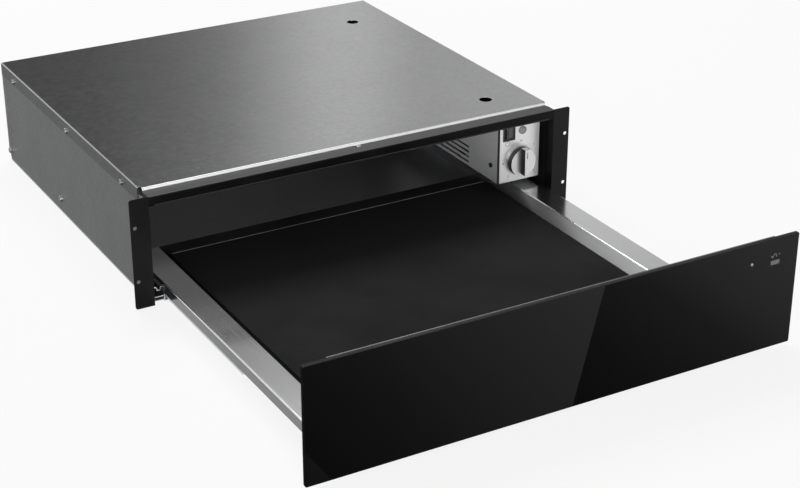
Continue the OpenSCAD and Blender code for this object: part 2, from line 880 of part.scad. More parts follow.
module supply_lead() {
    color("black") {
        rod_y(housing_back - housing_t - block_back, rear_in - gland_nut_t, lead_x, lead_z, lead_d);
        rod_z(housing_z + housing_t + block_h, lead_z, lead_x,
            housing_back - housing_t - block_back - lead_d / 2, lead_d * 2 / 3);
        rod_y(housing_back - housing_t - block_back - lead_d, housing_back, lead_x, lead_z, lead_d);
    }
}

module lead_grommet() {
    color("black") difference() {
        union() {
            rod_y(housing_back - housing_t - grommet_t, housing_back - housing_t, lead_x, lead_z,
                lead_d + (grommet_t + grommet_flange) * 2);
            rod_y(housing_back - housing_t, housing_back, lead_x, lead_z, lead_d + grommet_t * 2);
            rod_y(housing_back, housing_back + grommet_t, lead_x, lead_z,
                lead_d + (grommet_t + grommet_flange) * 2);
        }
        rod_y(housing_back - housing_t - grommet_t - over, housing_back + grommet_t + over, lead_x,
            lead_z, lead_d);
    }
}

module cord_gland() {
    color("black") difference() {
        union() {
            rod_y(rear_in - gland_nut_t, rear_in, lead_x, lead_z, gland_nut_d);
            rod_y(rear_in, rear_out, lead_x, lead_z, gland_hole_d);
            rod_y(rear_out, rear_out + gland_out / 3, lead_x, lead_z, gland_nut_d);
            rod_y(rear_out, rear_out + gland_out, lead_x, lead_z, gland_hole_d);
        }
        rod_y(rear_in - gland_nut_t - over, rear_out + gland_out + over, lead_x, lead_z, gland_bore_d);
    }
}

// Places of the screws, with the head pointing away from the casing along +z of the place
module cover_screw_places() {
    for (y = [front_y + cover_screw_front, front_y + cover_screw_middle, back_y - cover_screw_rear]) {
        translate([-casing_w / 2, y, cover_screw_z]) rotate([0, -90, 0]) children();
    }
}

module low_screw_places() {
    translate([-casing_w / 2, rear_out - low_screw_back, low_screw_z]) rotate([0, -90, 0]) children();
}

module runner_screw_places() {
    translate([-side_out, back_y - runner_screw_rear, runner_screw_z]) rotate([0, -90, 0]) children();
}

module housing_screw_places() {
    translate([housing_x0, housing_front + housing_screw_back, housing_z + housing_screw_up]) rotate([0,
        -90, 0]) children();
}

module cover_screws() {
    color("silver") for (side = [0, 1]) mirror([side, 0, 0]) {
        cover_screw_places() screw(screw_head_d, screw_head_h, screw_grip);
        low_screw_places() screw(screw_head_d, screw_head_h, screw_grip);
    }
}

module runner_screws() {
    color("silver") for (side = [0, 1]) mirror([side, 0, 0]) {
        runner_screw_places() screw(runner_screw_d, screw_head_h, runner_screw_len);
    }
}

module housing_screws() {
    color("silver") housing_screw_places() screw(small_head_d, small_head_h, screw_grip);
}

// Drawer
module drawer_rail() {
    skirt_z = rail_top - rail_skirt_h;
    inner_z = floor_z;
    color("lightgray") drawn_out() along_y(carrier_back, drawer_back) difference() {
        hood_flat([-rail_out, inner_z], [-rail_in, rail_top], rail_t, rail_r);
        flat([-rail_out - over, inner_z - over], [-rail_out + rail_t + over, skirt_z]);
    }
}

module drawer_rail_left() {
    drawer_rail();
}

module drawer_rail_right() {
    mirrored_x() drawer_rail();
}

module drawer_rear_wall() {
    color("black") drawn_out() {
        block([-rail_in, rear_wall_face, floor_z], [rail_in, drawer_back, rail_top]);
    }
}

module base_tray() {
    color("black") drawn_out() block([-rail_in, carrier_back, floor_z],
        [rail_in, rear_wall_face, tray_top]);
}

// The frame that lifts the glass plate above the tray
module plate_frame() {
    color("black") drawn_out() along_z(tray_top, plate_bottom) difference() {
        soft_flat([-plate_x + plate_edge, plate_front + plate_edge],
            [plate_x - plate_edge, plate_back - plate_edge], plate_r);
        soft_flat([-plate_x + frame_w, plate_front + frame_w],
            [plate_x - frame_w, plate_back - frame_w], plate_r);
    }
}

module glass_base_plate() {
    color("black") drawn_out() along_z(plate_bottom, plate_top) {
        soft_flat([-plate_x, plate_front], [plate_x, plate_back], plate_r);
    }
}

module insulation_mat() {
    inset = frame_w + mat_gap;
    color("white") drawn_out() {
        block([-plate_x + inset, plate_front + inset, tray_top],
            [plate_x - inset, plate_back - inset, tray_top + mat_t]);
    }
}

// One flat heating band in a serpentine under the glass, with its runs along y
module heating_element() {
    pitch = (plate_x - heater_inset) * 2 / (heater_runs - 1);
    y0 = plate_front + heater_inset;
    y1 = plate_back - heater_inset;
    color("darkorange") drawn_out() along_z(plate_bottom - heater_t, plate_bottom) {
        for (k = [0:heater_runs - 1]) {
            x = -plate_x + heater_inset + k * pitch;
            flat([x - heater_w / 2, y0], [x + heater_w / 2, y1]);
            if (k < heater_runs - 1) {
                y = k % 2 == 0 ? y0 : y1 - heater_w;
                flat([x - heater_w / 2, y], [x + pitch + heater_w / 2, y + heater_w]);
            }
        }
    }
}

module thermal_cutout() {
    color("ivory") drawn_out() {
        rod_z(floor_z - cutout_h, floor_z, 0, drawer_back - heater_inset * 2, cutout_d);
    }
}

// Front panel
module front_glass() {
    w = casing_w / 2 + front_side;
    z1 = front_z + front_h;
    color("black") drawn_out() {
        along_y(glass_face + glass_chamfer, carrier_front) soft_flat([-w, front_z], [w, z1], glass_r);
        along_y(glass_face, glass_face + glass_chamfer) {
            soft_flat([-w + glass_chamfer / 2, front_z + glass_chamfer / 2],
                [w - glass_chamfer / 2, z1 - glass_chamfer / 2], glass_r);
        }
    }
}

// A shallow steel pan behind the glass, its mouth towards the casing
module front_carrier() {
    w = casing_w / 2 - carrier_side;
    x = casing_w / 2 + front_side - light_x;
    color("gray") drawn_out() difference() {
        block([-w, carrier_front, carrier_z0], [w, carrier_back, carrier_z1]);
        rod_y(carrier_front - over, carrier_front + carrier_t + over, x, front_z + light_z, light_d);
        block([-w + carrier_t, carrier_front + carrier_t, carrier_z0 + carrier_t],
            [w - carrier_t, carrier_back + over, carrier_z1 - carrier_t]);
    }
}

// The sheet that closes the carrier, with the drawer's rails and brackets against it
module front_inner_panel() {
    w = casing_w / 2 - carrier_side - carrier_t;
    color("gray") drawn_out() difference() {
        block([-w, carrier_back - carrier_t, carrier_z0 + carrier_t],
            [w, carrier_back, carrier_z1 - carrier_t]);
        for (side = [0, 1]) mirror([side, 0, 0]) {
            front_screw_places() rod_z(-screw_grip - over, over, 0, 0, screw_shank_d + seat);
        }
    }
}

// An angle inside a rail, against its outer wall and the inner panel
module front_bracket() {
    x0 = -rail_out + rail_t;
    z1 = rail_top - rail_r;
    z0 = z1 - bracket_h;
    color("gray") drawn_out() difference() {
        union() {
            block([x0, carrier_back, z0], [x0 + bracket_t, carrier_back + bracket_len, z1]);
            block([x0, carrier_back, z0], [-rail_in - rail_t, carrier_back + bracket_t, z1]);
        }
        front_screw_places() rod_z(-screw_grip - over, over, 0, 0, screw_shank_d + seat);
    }
}

module front_screw_places() {
    for (side = [-1, 1]) {
        x = -runner_x + side * front_screw_side;
        translate([x, carrier_back + bracket_t, front_screw_z]) rotate([-90, 0, 0]) children();
    }
}

module front_screws() {
    color("silver") drawn_out() for (side = [0, 1]) mirror([side, 0, 0]) {
        front_screw_places() screw(small_head_d, small_head_h, screw_grip);
    }
}

module front_bracket_left() {
    front_bracket();
}

module front_bracket_right() {
    mirrored_x() front_bracket();
}

module front_bumpers() {
    z = bar_top - bar_h / 2;
    color("black") drawn_out() for (side = [-1, 1]) {
        rod_y(carrier_back, carrier_back + front_gap - seat, side * (bar_x - bumper_d * 2), z, bumper_d);
    }
}

module status_light() {
    x = casing_w / 2 + front_side - light_x;
    z = front_z + light_z;
    color("white") drawn_out() {
        rod_y(carrier_front + carrier_t, carrier_front + carrier_t + light_board_t, x, z, light_board);
        rod_y(carrier_front + carrier_t + light_board_t, carrier_front + carrier_t + light_board_t * 2,
            x, z, light_d * 2);
    }
}

base_panel();
side_panel_left();
side_panel_right();
rear_panel();
top_cover();
mounting_flange_left();
mounting_flange_right();
frame_bar();
front_seal();
runner_fixed_left();
runner_fixed_right();
runner_middle_left();
runner_middle_right();
runner_inner_left();
runner_inner_right();
runner_balls();
control_housing();
control_plate();
switch_body();
switch_rocker();
lamp_lens();
lamp_body();
thermostat();
thermostat_spindle();
knob();
fan_housing();
fan_motor();
fan_impeller();
terminal_block();
supply_lead();
lead_grommet();
cord_gland();
cover_screws();
runner_screws();
housing_screws();
drawer_rail_left();
drawer_rail_right();
drawer_rear_wall();
base_tray();
plate_frame();
glass_base_plate();
heating_element();
insulation_mat();
thermal_cutout();
front_glass();
front_carrier();
front_inner_panel();
front_bracket_left();
front_bracket_right();
front_screws();
front_bumpers();
status_light();
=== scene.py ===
import json
import math

import bmesh
import bpy
from mathutils import Matrix, Vector

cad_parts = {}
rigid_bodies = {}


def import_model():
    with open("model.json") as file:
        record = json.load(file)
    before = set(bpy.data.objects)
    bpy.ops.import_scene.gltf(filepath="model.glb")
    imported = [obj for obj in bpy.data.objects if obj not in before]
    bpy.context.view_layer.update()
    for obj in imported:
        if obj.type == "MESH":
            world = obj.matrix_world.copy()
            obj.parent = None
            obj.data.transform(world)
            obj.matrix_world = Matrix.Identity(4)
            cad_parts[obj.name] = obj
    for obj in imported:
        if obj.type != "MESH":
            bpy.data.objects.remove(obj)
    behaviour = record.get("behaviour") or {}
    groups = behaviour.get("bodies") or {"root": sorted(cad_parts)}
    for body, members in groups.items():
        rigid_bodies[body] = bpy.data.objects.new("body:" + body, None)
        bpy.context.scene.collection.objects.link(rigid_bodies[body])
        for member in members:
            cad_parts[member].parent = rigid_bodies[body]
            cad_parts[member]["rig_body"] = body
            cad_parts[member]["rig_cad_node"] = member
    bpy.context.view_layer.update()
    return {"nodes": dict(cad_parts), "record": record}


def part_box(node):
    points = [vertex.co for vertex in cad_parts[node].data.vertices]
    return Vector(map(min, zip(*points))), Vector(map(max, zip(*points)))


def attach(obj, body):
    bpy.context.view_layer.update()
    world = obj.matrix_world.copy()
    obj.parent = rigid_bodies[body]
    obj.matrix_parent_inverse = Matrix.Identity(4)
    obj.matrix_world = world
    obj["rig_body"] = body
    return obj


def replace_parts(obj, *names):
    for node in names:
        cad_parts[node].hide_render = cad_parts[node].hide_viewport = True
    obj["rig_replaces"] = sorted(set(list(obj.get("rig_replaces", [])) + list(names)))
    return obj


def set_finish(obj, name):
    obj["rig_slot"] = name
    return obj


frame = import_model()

# A built-in warming drawer, drawn out. Metres, +Z up, the front looks along -Y.

MM = 0.001
NEAR = 0.001 * MM


# Bench tools

def put_down():
    """Leaves edit mode and selects nothing."""
    if bpy.context.object and bpy.context.object.mode != "OBJECT":
        bpy.ops.object.mode_set(mode="OBJECT")
    bpy.ops.object.select_all(action="DESELECT")


def pick_up(piece):
    put_down()
    piece.select_set(True)
    bpy.context.view_layer.objects.active = piece
    return piece


def settle(piece):
    """Moves a piece's place into its mesh, so that its object sits at the origin."""
    pick_up(piece)
    bpy.ops.object.transform_apply(location=True, rotation=True, scale=True)
    return piece


def named(name):
    piece = bpy.context.object
    piece.name = name
    piece.data.name = name
    return settle(piece)


def cube(name, lo, hi):
    put_down()
    lo, hi = Vector(lo), Vector(hi)
    bpy.ops.mesh.primitive_cube_add(size=1, location=(lo + hi) / 2, scale=hi - lo)
    return named(name)


def plane(name, lo, hi):
    """A level sheet with no thickness yet, at the height of hi."""
    put_down()
    lo, hi = Vector(lo), Vector(hi)
    centre = ((lo.x + hi.x) / 2, (lo.y + hi.y) / 2, hi.z)
    bpy.ops.mesh.primitive_plane_add(size=1, location=centre)
    bpy.context.object.scale = (hi.x - lo.x, hi.y - lo.y, 1)
    return named(name)


TURN = {"y": (math.pi / 2, 0, 0), "z": (0, 0, 0)}


def drum(name, axis, centre, radius, depth, sides=64):
    """A cylinder along an axis."""
    put_down()
    bpy.ops.mesh.primitive_cylinder_add(
        vertices=sides, radius=radius, depth=depth, location=centre, rotation=TURN[axis]
    )
    return named(name)


def start_edit(piece, mode="FACE"):
    pick_up(piece)
    bpy.ops.object.mode_set(mode="EDIT")
    bpy.ops.mesh.select_mode(type=mode)
    bpy.ops.mesh.select_all(action="DESELECT")


def stop_edit():
    bpy.ops.object.mode_set(mode="OBJECT")


def choose_faces(piece, test):
    """Selects the faces whose centre c and normal n pass the test."""
    shape = bmesh.from_edit_mesh(piece.data)
    for face in shape.faces:
        face.select_set(bool(test(face.calc_center_median(), face.normal)))
    bmesh.update_edit_mesh(piece.data)


def choose_edges(piece, *tests):
    """Selects the edges whose two ends a and b pass one of the tests."""
    shape = bmesh.from_edit_mesh(piece.data)
    for edge in shape.edges:
        a, b = (corner.co for corner in edge.verts)
        edge.select_set(any(test(a, b) for test in tests))
    shape.select_flush_mode()
    bmesh.update_edit_mesh(piece.data)


def ends_at(**place):
    """The test for edges with both ends at the given x, y or z."""
    return lambda a, b: all(abs(getattr(p, axis) - at) < NEAR for p in (a, b) for axis, at in place.items())


def runs_along(axis):
    """The test for edges that run along an axis."""
    across = "xyz".replace(axis, "")
    return lambda a, b: all(abs(getattr(a, other) - getattr(b, other)) < NEAR for other in across)


def push(value):
    bpy.ops.mesh.extrude_region_move(TRANSFORM_OT_translate={"value": value})


def finish_with(piece, kind, **settings):
    """Adds a modifier, sets it and applies it."""
    pick_up(piece)
    modifier = piece.modifiers.new(kind.title(), kind)
    for name, value in settings.items():
        setattr(modifier, name, value)
    bpy.ops.object.modifier_apply(modifier=modifier.name)
    return piece


def ease_edges(piece, width, segments=2, angle=35):
    """Rounds the sharp edges and smooths what is round."""
    finish_with(
        piece, "BEVEL", width=width, segments=segments, limit_method="ANGLE",
        angle_limit=math.radians(angle), use_clamp_overlap=True, harden_normals=False,
    )
    return smooth(piece)


def smooth(piece, angle=40):
    """Smooth shading within the angle, with flat faces kept flat."""
    pick_up(piece)
    bpy.ops.object.shade_smooth_by_angle(angle=math.radians(angle))
    return finish_with(piece, "WEIGHTED_NORMAL", keep_sharp=True, weight=100)


def cut(piece, *cutters):
    for cutter in cutters:
        finish_with(piece, "BOOLEAN", operation="DIFFERENCE", solver="EXACT", object=cutter)
        bpy.data.objects.remove(cutter)
    return piece


def weld(piece, other):
    finish_with(piece, "BOOLEAN", operation="UNION", solver="EXACT", object=other)
    bpy.data.objects.remove(other)


def join(name, *pieces):
    """Joins separate solids into one piece."""
    put_down()
    for piece in pieces:
        piece.select_set(True)
    bpy.context.view_layer.objects.active = pieces[0]
    bpy.ops.object.join()
    return named(name)


def another(piece, name):
    twin = piece.copy()
    twin.data = piece.data.copy()
    bpy.context.scene.collection.objects.link(twin)
    twin.name = name
    twin.data.name = name
    return twin


def mirror_twin(piece, name):
    """The same piece on the other side of the middle, with its faces outwards."""
    twin = pick_up(another(piece, name))
    twin.scale = (-1, 1, 1)
    settle(twin)
    start_edit(twin)
    bpy.ops.mesh.select_all(action="SELECT")
    bpy.ops.mesh.normals_make_consistent(inside=False)
    stop_edit()
    return smooth(twin)


def clean(piece):
    """Merges doubles and turns every face outwards."""
    start_edit(piece, "VERT")
    bpy.ops.mesh.select_all(action="SELECT")
    bpy.ops.mesh.remove_doubles(threshold=2 * NEAR)
    bpy.ops.mesh.normals_make_consistent(inside=False)
    stop_edit()
    return piece


def score(piece, place, normal):
    """Cuts a line round a piece, so that its two sides can have two finishes."""
    start_edit(piece, "EDGE")
    bpy.ops.mesh.select_all(action="SELECT")
    bpy.ops.mesh.bisect(plane_co=place, plane_no=normal)
    stop_edit()


def take_over(node, name, width):
    """A merged copy of a CAD node with its edges eased, to show in its place."""
    piece = another(frame["nodes"][node], name)
    piece.parent = None
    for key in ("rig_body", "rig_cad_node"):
        if key in piece:
            del piece[key]
    piece.data.materials.clear()
    start_edit(piece, "VERT")
    bpy.ops.mesh.select_all(action="SELECT")
    bpy.ops.mesh.remove_doubles(threshold=NEAR)
    bpy.ops.mesh.dissolve_limited(angle_limit=math.radians(0.3))
    stop_edit()
    return ease_edges(piece, width)


def fit(piece, body, material, slot, *nodes):
    """Gives a finished piece its material, body and record slot."""
    piece.data.materials.clear()
    piece.data.materials.append(material)
    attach(piece, body)
    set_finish(piece, slot)
    if nodes:
        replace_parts(piece, *nodes)


def second_finish(piece, material, test):
    """Gives the faces that pass the test another material."""
    piece.data.materials.append(material)
    start_edit(piece)
    choose_faces(piece, test)
    piece.active_material_index = len(piece.data.materials) - 1
    bpy.ops.object.material_slot_assign()
    stop_edit()


# Finishes

class Finish:
    """A node material on Object coordinates, built a node at a time."""

    def __init__(self, name, base, metallic=0.0, level=0.5):
        self.material = bpy.data.materials.new(name)
        self.material.use_nodes = True
        self.tree = self.material.node_tree
        self.shader = self.tree.nodes["Principled BSDF"]
        self.shader.inputs["Base Color"].default_value = (*base, 1)
        self.shader.inputs["Metallic"].default_value = metallic
        self.shader.inputs["Specular IOR Level"].default_value = level
        self.place = self.tree.nodes.new("ShaderNodeTexCoord").outputs["Object"]

    def link(self, a, b):
        self.tree.links.new(a, b)

    def stretched(self, scale):
        mapping = self.tree.nodes.new("ShaderNodeMapping")
        mapping.inputs["Scale"].default_value = scale
        self.link(self.place, mapping.inputs["Vector"])
        return mapping.outputs["Vector"]

    def noise(self, scale, detail, rough=0.55, vector=None):
        node = self.tree.nodes.new("ShaderNodeTexNoise")
        node.inputs["Scale"].default_value = scale
        node.inputs["Detail"].default_value = detail
        node.inputs["Roughness"].default_value = rough
        self.link(vector or self.place, node.inputs["Vector"])
        return node.outputs["Fac"]

    def cells(self, scale):
        """One random shade for each grain of a crystal pattern."""
        node = self.tree.nodes.new("ShaderNodeTexVoronoi")
        node.inputs["Scale"].default_value = scale
        self.link(self.place, node.inputs["Vector"])
        grey = self.tree.nodes.new("ShaderNodeSeparateColor")
        self.link(node.outputs["Color"], grey.inputs["Color"])
        return grey.outputs["Red"]

    def span(self, value, low, high, from_low=0.0, from_high=1.0):
        node = self.tree.nodes.new("ShaderNodeMapRange")
        node.inputs["From Min"].default_value = from_low
        node.inputs["From Max"].default_value = from_high
        node.inputs["To Min"].default_value = low
        node.inputs["To Max"].default_value = high
        self.link(value, node.inputs["Value"])
        return node.outputs["Result"]

    def add(self, a, b):
        node = self.tree.nodes.new("ShaderNodeMath")
        self.link(a, node.inputs[0])
        self.link(b, node.inputs[1])
        return node.outputs["Value"]

    def colours(self, fac, low, high):
        node = self.tree.nodes.new("ShaderNodeMix")
        node.data_type = "RGBA"
        node.inputs["A"].default_value = (*low, 1)
        node.inputs["B"].default_value = (*high, 1)
        self.link(fac, node.inputs["Factor"])
        self.link(node.outputs["Result"], self.shader.inputs["Base Color"])

    def gloss(self, fac):
        self.link(fac, self.shader.inputs["Roughness"])

    def relief(self, height, distance, strength):
        node = self.tree.nodes.new("ShaderNodeBump")
        node.inputs["Distance"].default_value = distance
        node.inputs["Strength"].default_value = strength
        self.link(height, node.inputs["Height"])
        self.link(node.outputs["Normal"], self.shader.inputs["Normal"])

    def blurred_along(self, way):
        """Blurs the reflections along one way, as drawn steel does across its grain."""
        tangent = self.tree.nodes.new("ShaderNodeCombineXYZ")
        for socket, value in zip(tangent.inputs, way):
            socket.default_value = value
        self.shader.inputs["Anisotropic"].default_value = 1.0
        self.link(tangent.outputs["Vector"], self.shader.inputs["Tangent"])


def galvanised(name, dark, light, roughness, metallic=1.0, depth=0.006):
    """Zinc coated steel with fine crystal grains. Depths are in millimetres."""
    f = Finish(name, light, metallic)
    grains = f.span(f.cells(260), 0.3, 0.7)
    blotches = f.span(f.noise(18, 4), -0.12, 0.12, 0.3, 0.7)
    f.colours(f.add(grains, blotches), dark, light)
    f.gloss(f.span(f.cells(190), roughness - 0.02, roughness + 0.02, 0.2, 0.8))
    f.relief(f.add(f.cells(260), f.noise(420, 3)), depth * MM, 0.4)
    return f.material


def brushed(name, dark, light, roughness, along="y", depth=0.004, blur=None):
    """Metal with fine lines along one way."""
    f = Finish(name, light, 1.0)
    scale = {"x": (1, 90, 90), "y": (90, 1, 90), "z": (90, 90, 1)}[along]
    lines = f.noise(14, 6, 0.7, f.stretched(scale))
    clouds = f.noise(9, 3)
    f.colours(f.span(f.add(lines, clouds), 0, 1, 0.7, 1.3), dark, light)
    f.gloss(f.span(lines, roughness - 0.02, roughness + 0.03, 0.3, 0.7))
    f.relief(lines, depth * MM, 0.4)
    if blur:
        f.blurred_along(blur)
    return f.material


def satin(name, dark, light, roughness, metallic=1.0):
    """Metal blasted to an even silk."""
    f = Finish(name, light, metallic)
    clouds = f.noise(40, 4)
    f.colours(f.span(clouds, 0, 1, 0.3, 0.7), dark, light)
    f.gloss(f.span(clouds, roughness - 0.02, roughness + 0.02, 0.3, 0.7))
    f.relief(f.noise(2200, 2), 0.0003 * MM, 0.2)
    return f.material


def painted(name, base, roughness, peel=0.02, level=0.5):
    """Sprayed paint with orange peel."""
    f = Finish(name, base, level=level)
    wear = f.noise(22, 5)
    f.colours(f.span(wear, 0, 1, 0.3, 0.7), [c * 0.85 for c in base], [c * 1.2 + 0.001 for c in base])
    f.gloss(f.span(wear, roughness - 0.05, roughness + 0.06, 0.3, 0.7))
    f.relief(f.noise(700, 3), peel * MM, 0.5)
    return f.material


def moulded(name, base, roughness, grain=0.01):
    """Plastic with a fine sparked grain."""
    f = Finish(name, base)
    f.colours(f.span(f.noise(35, 3), 0, 1, 0.3, 0.7), [c * 0.92 for c in base], base)
    f.gloss(f.span(f.noise(60, 4), roughness - 0.04, roughness + 0.05, 0.3, 0.7))
    f.relief(f.noise(1500, 2), grain * MM, 0.6)
    return f.material


def dark_glass(name, base, roughness, level):
    """Black glass with the faintest haze."""
    f = Finish(name, base, level=level)
    haze = f.noise(11, 4)
    f.colours(f.span(haze, 0, 1, 0.3, 0.7), [c * 0.8 for c in base], [c * 1.2 for c in base])
    f.gloss(f.span(haze, roughness * 0.7, roughness * 1.5, 0.3, 0.7))
    f.relief(f.noise(5, 2), 0.004 * MM, 0.3)
    return f.material


def felted(name, low, high):
    """Loose mineral fibre."""
    f = Finish(name, low)
    f.colours(f.noise(900, 5, 0.7), low, high)
    f.gloss(f.span(f.noise(300, 3), 0.88, 0.98))
    f.relief(f.noise(700, 5, 0.7), 0.2 * MM, 0.8)
    return f.material


# Sheet steel: the cover, the body, the cover's front bend and the inner faces of the base and rear each
# have their own tone and shine. The cover's sides and the right side's inner face are darker copies as
# painted shade; the cover's front fold and the control housing are lighter copies as painted light.
COVER_STEEL = galvanised(
    "galvanised cover steel", (0.385, 0.388, 0.391), (0.47, 0.473, 0.476), 0.15, depth=0.0015
)
# A darker copy of the cover steel for the cover's outer sides: painted shade.
COVER_SIDE_SHADE_STEEL = galvanised("cover side steel in painted shade", (0.21, 0.213, 0.216), (0.29, 0.293, 0.296), 0.36)
BODY_STEEL = galvanised("galvanised body steel", (0.297, 0.3015, 0.306), (0.42, 0.4245, 0.429), 0.36)
DULL_SHEET = galvanised("dull inner sheet", (0.34, 0.342, 0.345), (0.42, 0.422, 0.425), 0.40)
# A much lighter copy of the cover steel for the front fold: a painted highlight.
FOLD_HIGHLIGHT_STEEL = galvanised("cover fold steel with painted highlight", (0.74, 0.742, 0.745), (0.80, 0.802, 0.805), 0.50)
BEND_STEEL = galvanised("cover bend steel", (0.40, 0.402, 0.405), (0.46, 0.462, 0.465), 0.45)
# A near-black copy of the galvanised steel for the right side's inner face: painted shade.
PAINTED_SHADE_SHEET = galvanised("inner sheet in painted shade", (0.010, 0.010, 0.0105), (0.016, 0.016, 0.0165), 0.5, 0.3)
# A much lighter, less metallic copy of the galvanised steel for the control housing: painted light inside
# the cavity.
LIGHTENED_HOUSING_STEEL = galvanised("galvanised housing sheet with painted light", (0.84, 0.843, 0.846), (0.92, 0.923, 0.926), 0.42, 0.40)

BLACK_PAINT = painted("black frame paint", (0.0042, 0.0042, 0.0044), 0.44)
FLANGE_PAINT = painted("matt flange paint", (0.0050, 0.0050, 0.0053), 0.42, level=0.16)
# A darker, less shiny copy of the black paint for the bar's front and underside and the right flange's
# inner face: painted shade.
SHADED_BAR_PAINT = painted("black paint in painted shade", (0.0026, 0.0026, 0.0027), 0.45, level=0.10)
BLACK_ENAMEL = painted("black enamel", (0.0012, 0.0012, 0.0013), 0.34)

RAIL_STEEL = brushed("polished rail steel", (0.70, 0.705, 0.71), (0.78, 0.78, 0.785), 0.15, depth=0.0006)
# A lighter copy of the rail steel for the rails' inner walls. It is rougher and drawn along its grain, and
# its lighter tone is painted light.
LIGHTENED_RAIL_WALL_STEEL = brushed(
    "rail wall steel with painted light", (0.90, 0.902, 0.904), (0.95, 0.952, 0.954), 0.78, blur=(0, 0, 1)
)
RUNNER_STEEL = brushed("zinc plated runner steel", (0.50, 0.51, 0.53), (0.64, 0.65, 0.67), 0.30)
PLATE_METAL = satin("control plate metal", (0.80, 0.80, 0.805), (0.83, 0.83, 0.835), 0.30, 0.5)
KNOB_METAL = brushed("satin knob metal", (0.66, 0.66, 0.665), (0.69, 0.69, 0.695), 0.36, "z", 0.0002)
KNOB_SHADE = satin("shaded knob metal", (0.06, 0.06, 0.061), (0.08, 0.08, 0.081), 0.50)
SCREW_STEEL = brushed("bright screw steel", (0.34, 0.34, 0.345), (0.46, 0.46, 0.465), 0.34, "x")
CARRIER_STEEL = brushed("plain carrier steel", (0.11, 0.11, 0.113), (0.15, 0.15, 0.154), 0.34, "x")
MOTOR_STEEL = brushed("pressed motor steel", (0.40, 0.40, 0.42), (0.55, 0.55, 0.57), 0.35, "x")
ROTOR_METAL = brushed("pressed rotor metal", (0.55, 0.56, 0.57), (0.68, 0.69, 0.70), 0.38, "x")
BALL_STEEL = brushed("bearing steel", (0.70, 0.70, 0.71), (0.82, 0.82, 0.83), 0.10)
BRASS = brushed("turned brass", (0.60, 0.44, 0.18), (0.76, 0.58, 0.28), 0.28)
HEATER_METAL = brushed("heat tinted heater band", (0.16, 0.11, 0.08), (0.30, 0.23, 0.18), 0.40)

BASE_GLASS = dark_glass("black base glass", (0.0155, 0.0155, 0.016), 0.62, 0.05)
FRONT_GLASS = dark_glass("black front glass", (0.0010, 0.0010, 0.0011), 0.02, 0.5)
GROUND_EDGE = dark_glass("ground glass edge", (0.013, 0.0135, 0.0135), 0.5, 0.12)
# A darker copy of the ground edge for the pane's sides: painted shade.
SHADED_EDGE = dark_glass("ground glass side in painted shade", (0.002, 0.002, 0.0021), 0.5, 0.05)
# A near-white strip on the black glass's rear edge: a painted highlight.
BASE_EDGE_HIGHLIGHT = dark_glass("base glass edge with painted highlight", (0.90, 0.905, 0.905), 0.4, 0.6)

SWITCH_PLASTIC = moulded("switch plastic", (0.004, 0.004, 0.0045), 0.45)
ROCKER_PLASTIC = moulded("rocker plastic", (0.07, 0.07, 0.071), 0.16, 0.003)
DARK_PLASTIC = moulded("dark moulded plastic", (0.022, 0.022, 0.024), 0.45)
PALE_PLASTIC = moulded("pale moulded plastic", (0.66, 0.64, 0.58), 0.45)
LAMP_PLASTIC = moulded("lamp lens plastic", (0.30, 0.30, 0.295), 0.12, 0.001)
LIGHT_PLASTIC = moulded("status light plastic", (0.70, 0.72, 0.75), 0.2, 0.002)
SEAL_RUBBER = moulded("silicone seal", (0.022, 0.022, 0.0225), 0.55, 0.02)
LEAD_RUBBER = moulded("lead sheath", (0.02, 0.02, 0.02), 0.5, 0.02)
MINERAL_MAT = felted("mineral felt", (0.62, 0.60, 0.55), (0.82, 0.80, 0.75))

PRINT_GREY = painted("grey print", (0.05, 0.05, 0.0525), 0.5, 0.002)
PRINT_PALE = painted("pale print on glass", (0.15, 0.15, 0.155), 0.5, 0.002)
PRINT_WHITE = painted("white print", (0.36, 0.36, 0.365), 0.5, 0.002)

node_finish = {
    "galvanised_steel": BODY_STEEL, "black_frame": BLACK_PAINT, "seal": SEAL_RUBBER,
    "runner_steel": RUNNER_STEEL, "bearing_steel": BALL_STEEL, "panel_metal": PLATE_METAL,
    "switch_plastic": SWITCH_PLASTIC, "lamp_plastic": LAMP_PLASTIC, "pale_plastic": PALE_PLASTIC,
    "knob_metal": KNOB_METAL, "spindle_brass": BRASS, "dark_plastic": DARK_PLASTIC,
    "motor_steel": MOTOR_STEEL, "rotor_metal": ROTOR_METAL, "lead": LEAD_RUBBER,
    "screw_steel": SCREW_STEEL, "stainless_rail": RAIL_STEEL, "black_enamel": BLACK_ENAMEL,
    "base_glass": BASE_GLASS, "heater_steel": HEATER_METAL, "mineral_mat": MINERAL_MAT,
    "front_glass": FRONT_GLASS, "carrier_steel": CARRIER_STEEL, "light_plastic": LIGHT_PLASTIC,
}
slot_of = {row["node"]: row["material_slot"] for row in frame["record"]["subparts"]}
body_of = {node: body for body, nodes in frame["record"]["behaviour"]["bodies"].items() for node in nodes}
for node, solid in frame["nodes"].items():
    solid.data.materials.clear()
    solid.data.materials.append(node_finish[slot_of[node]])


def stand_in(piece, node, material=None):
    """The piece shows in place of a CAD node, with its body and its slot."""
    fit(piece, body_of[node], material or node_finish[slot_of[node]], slot_of[node], node)


# Casing

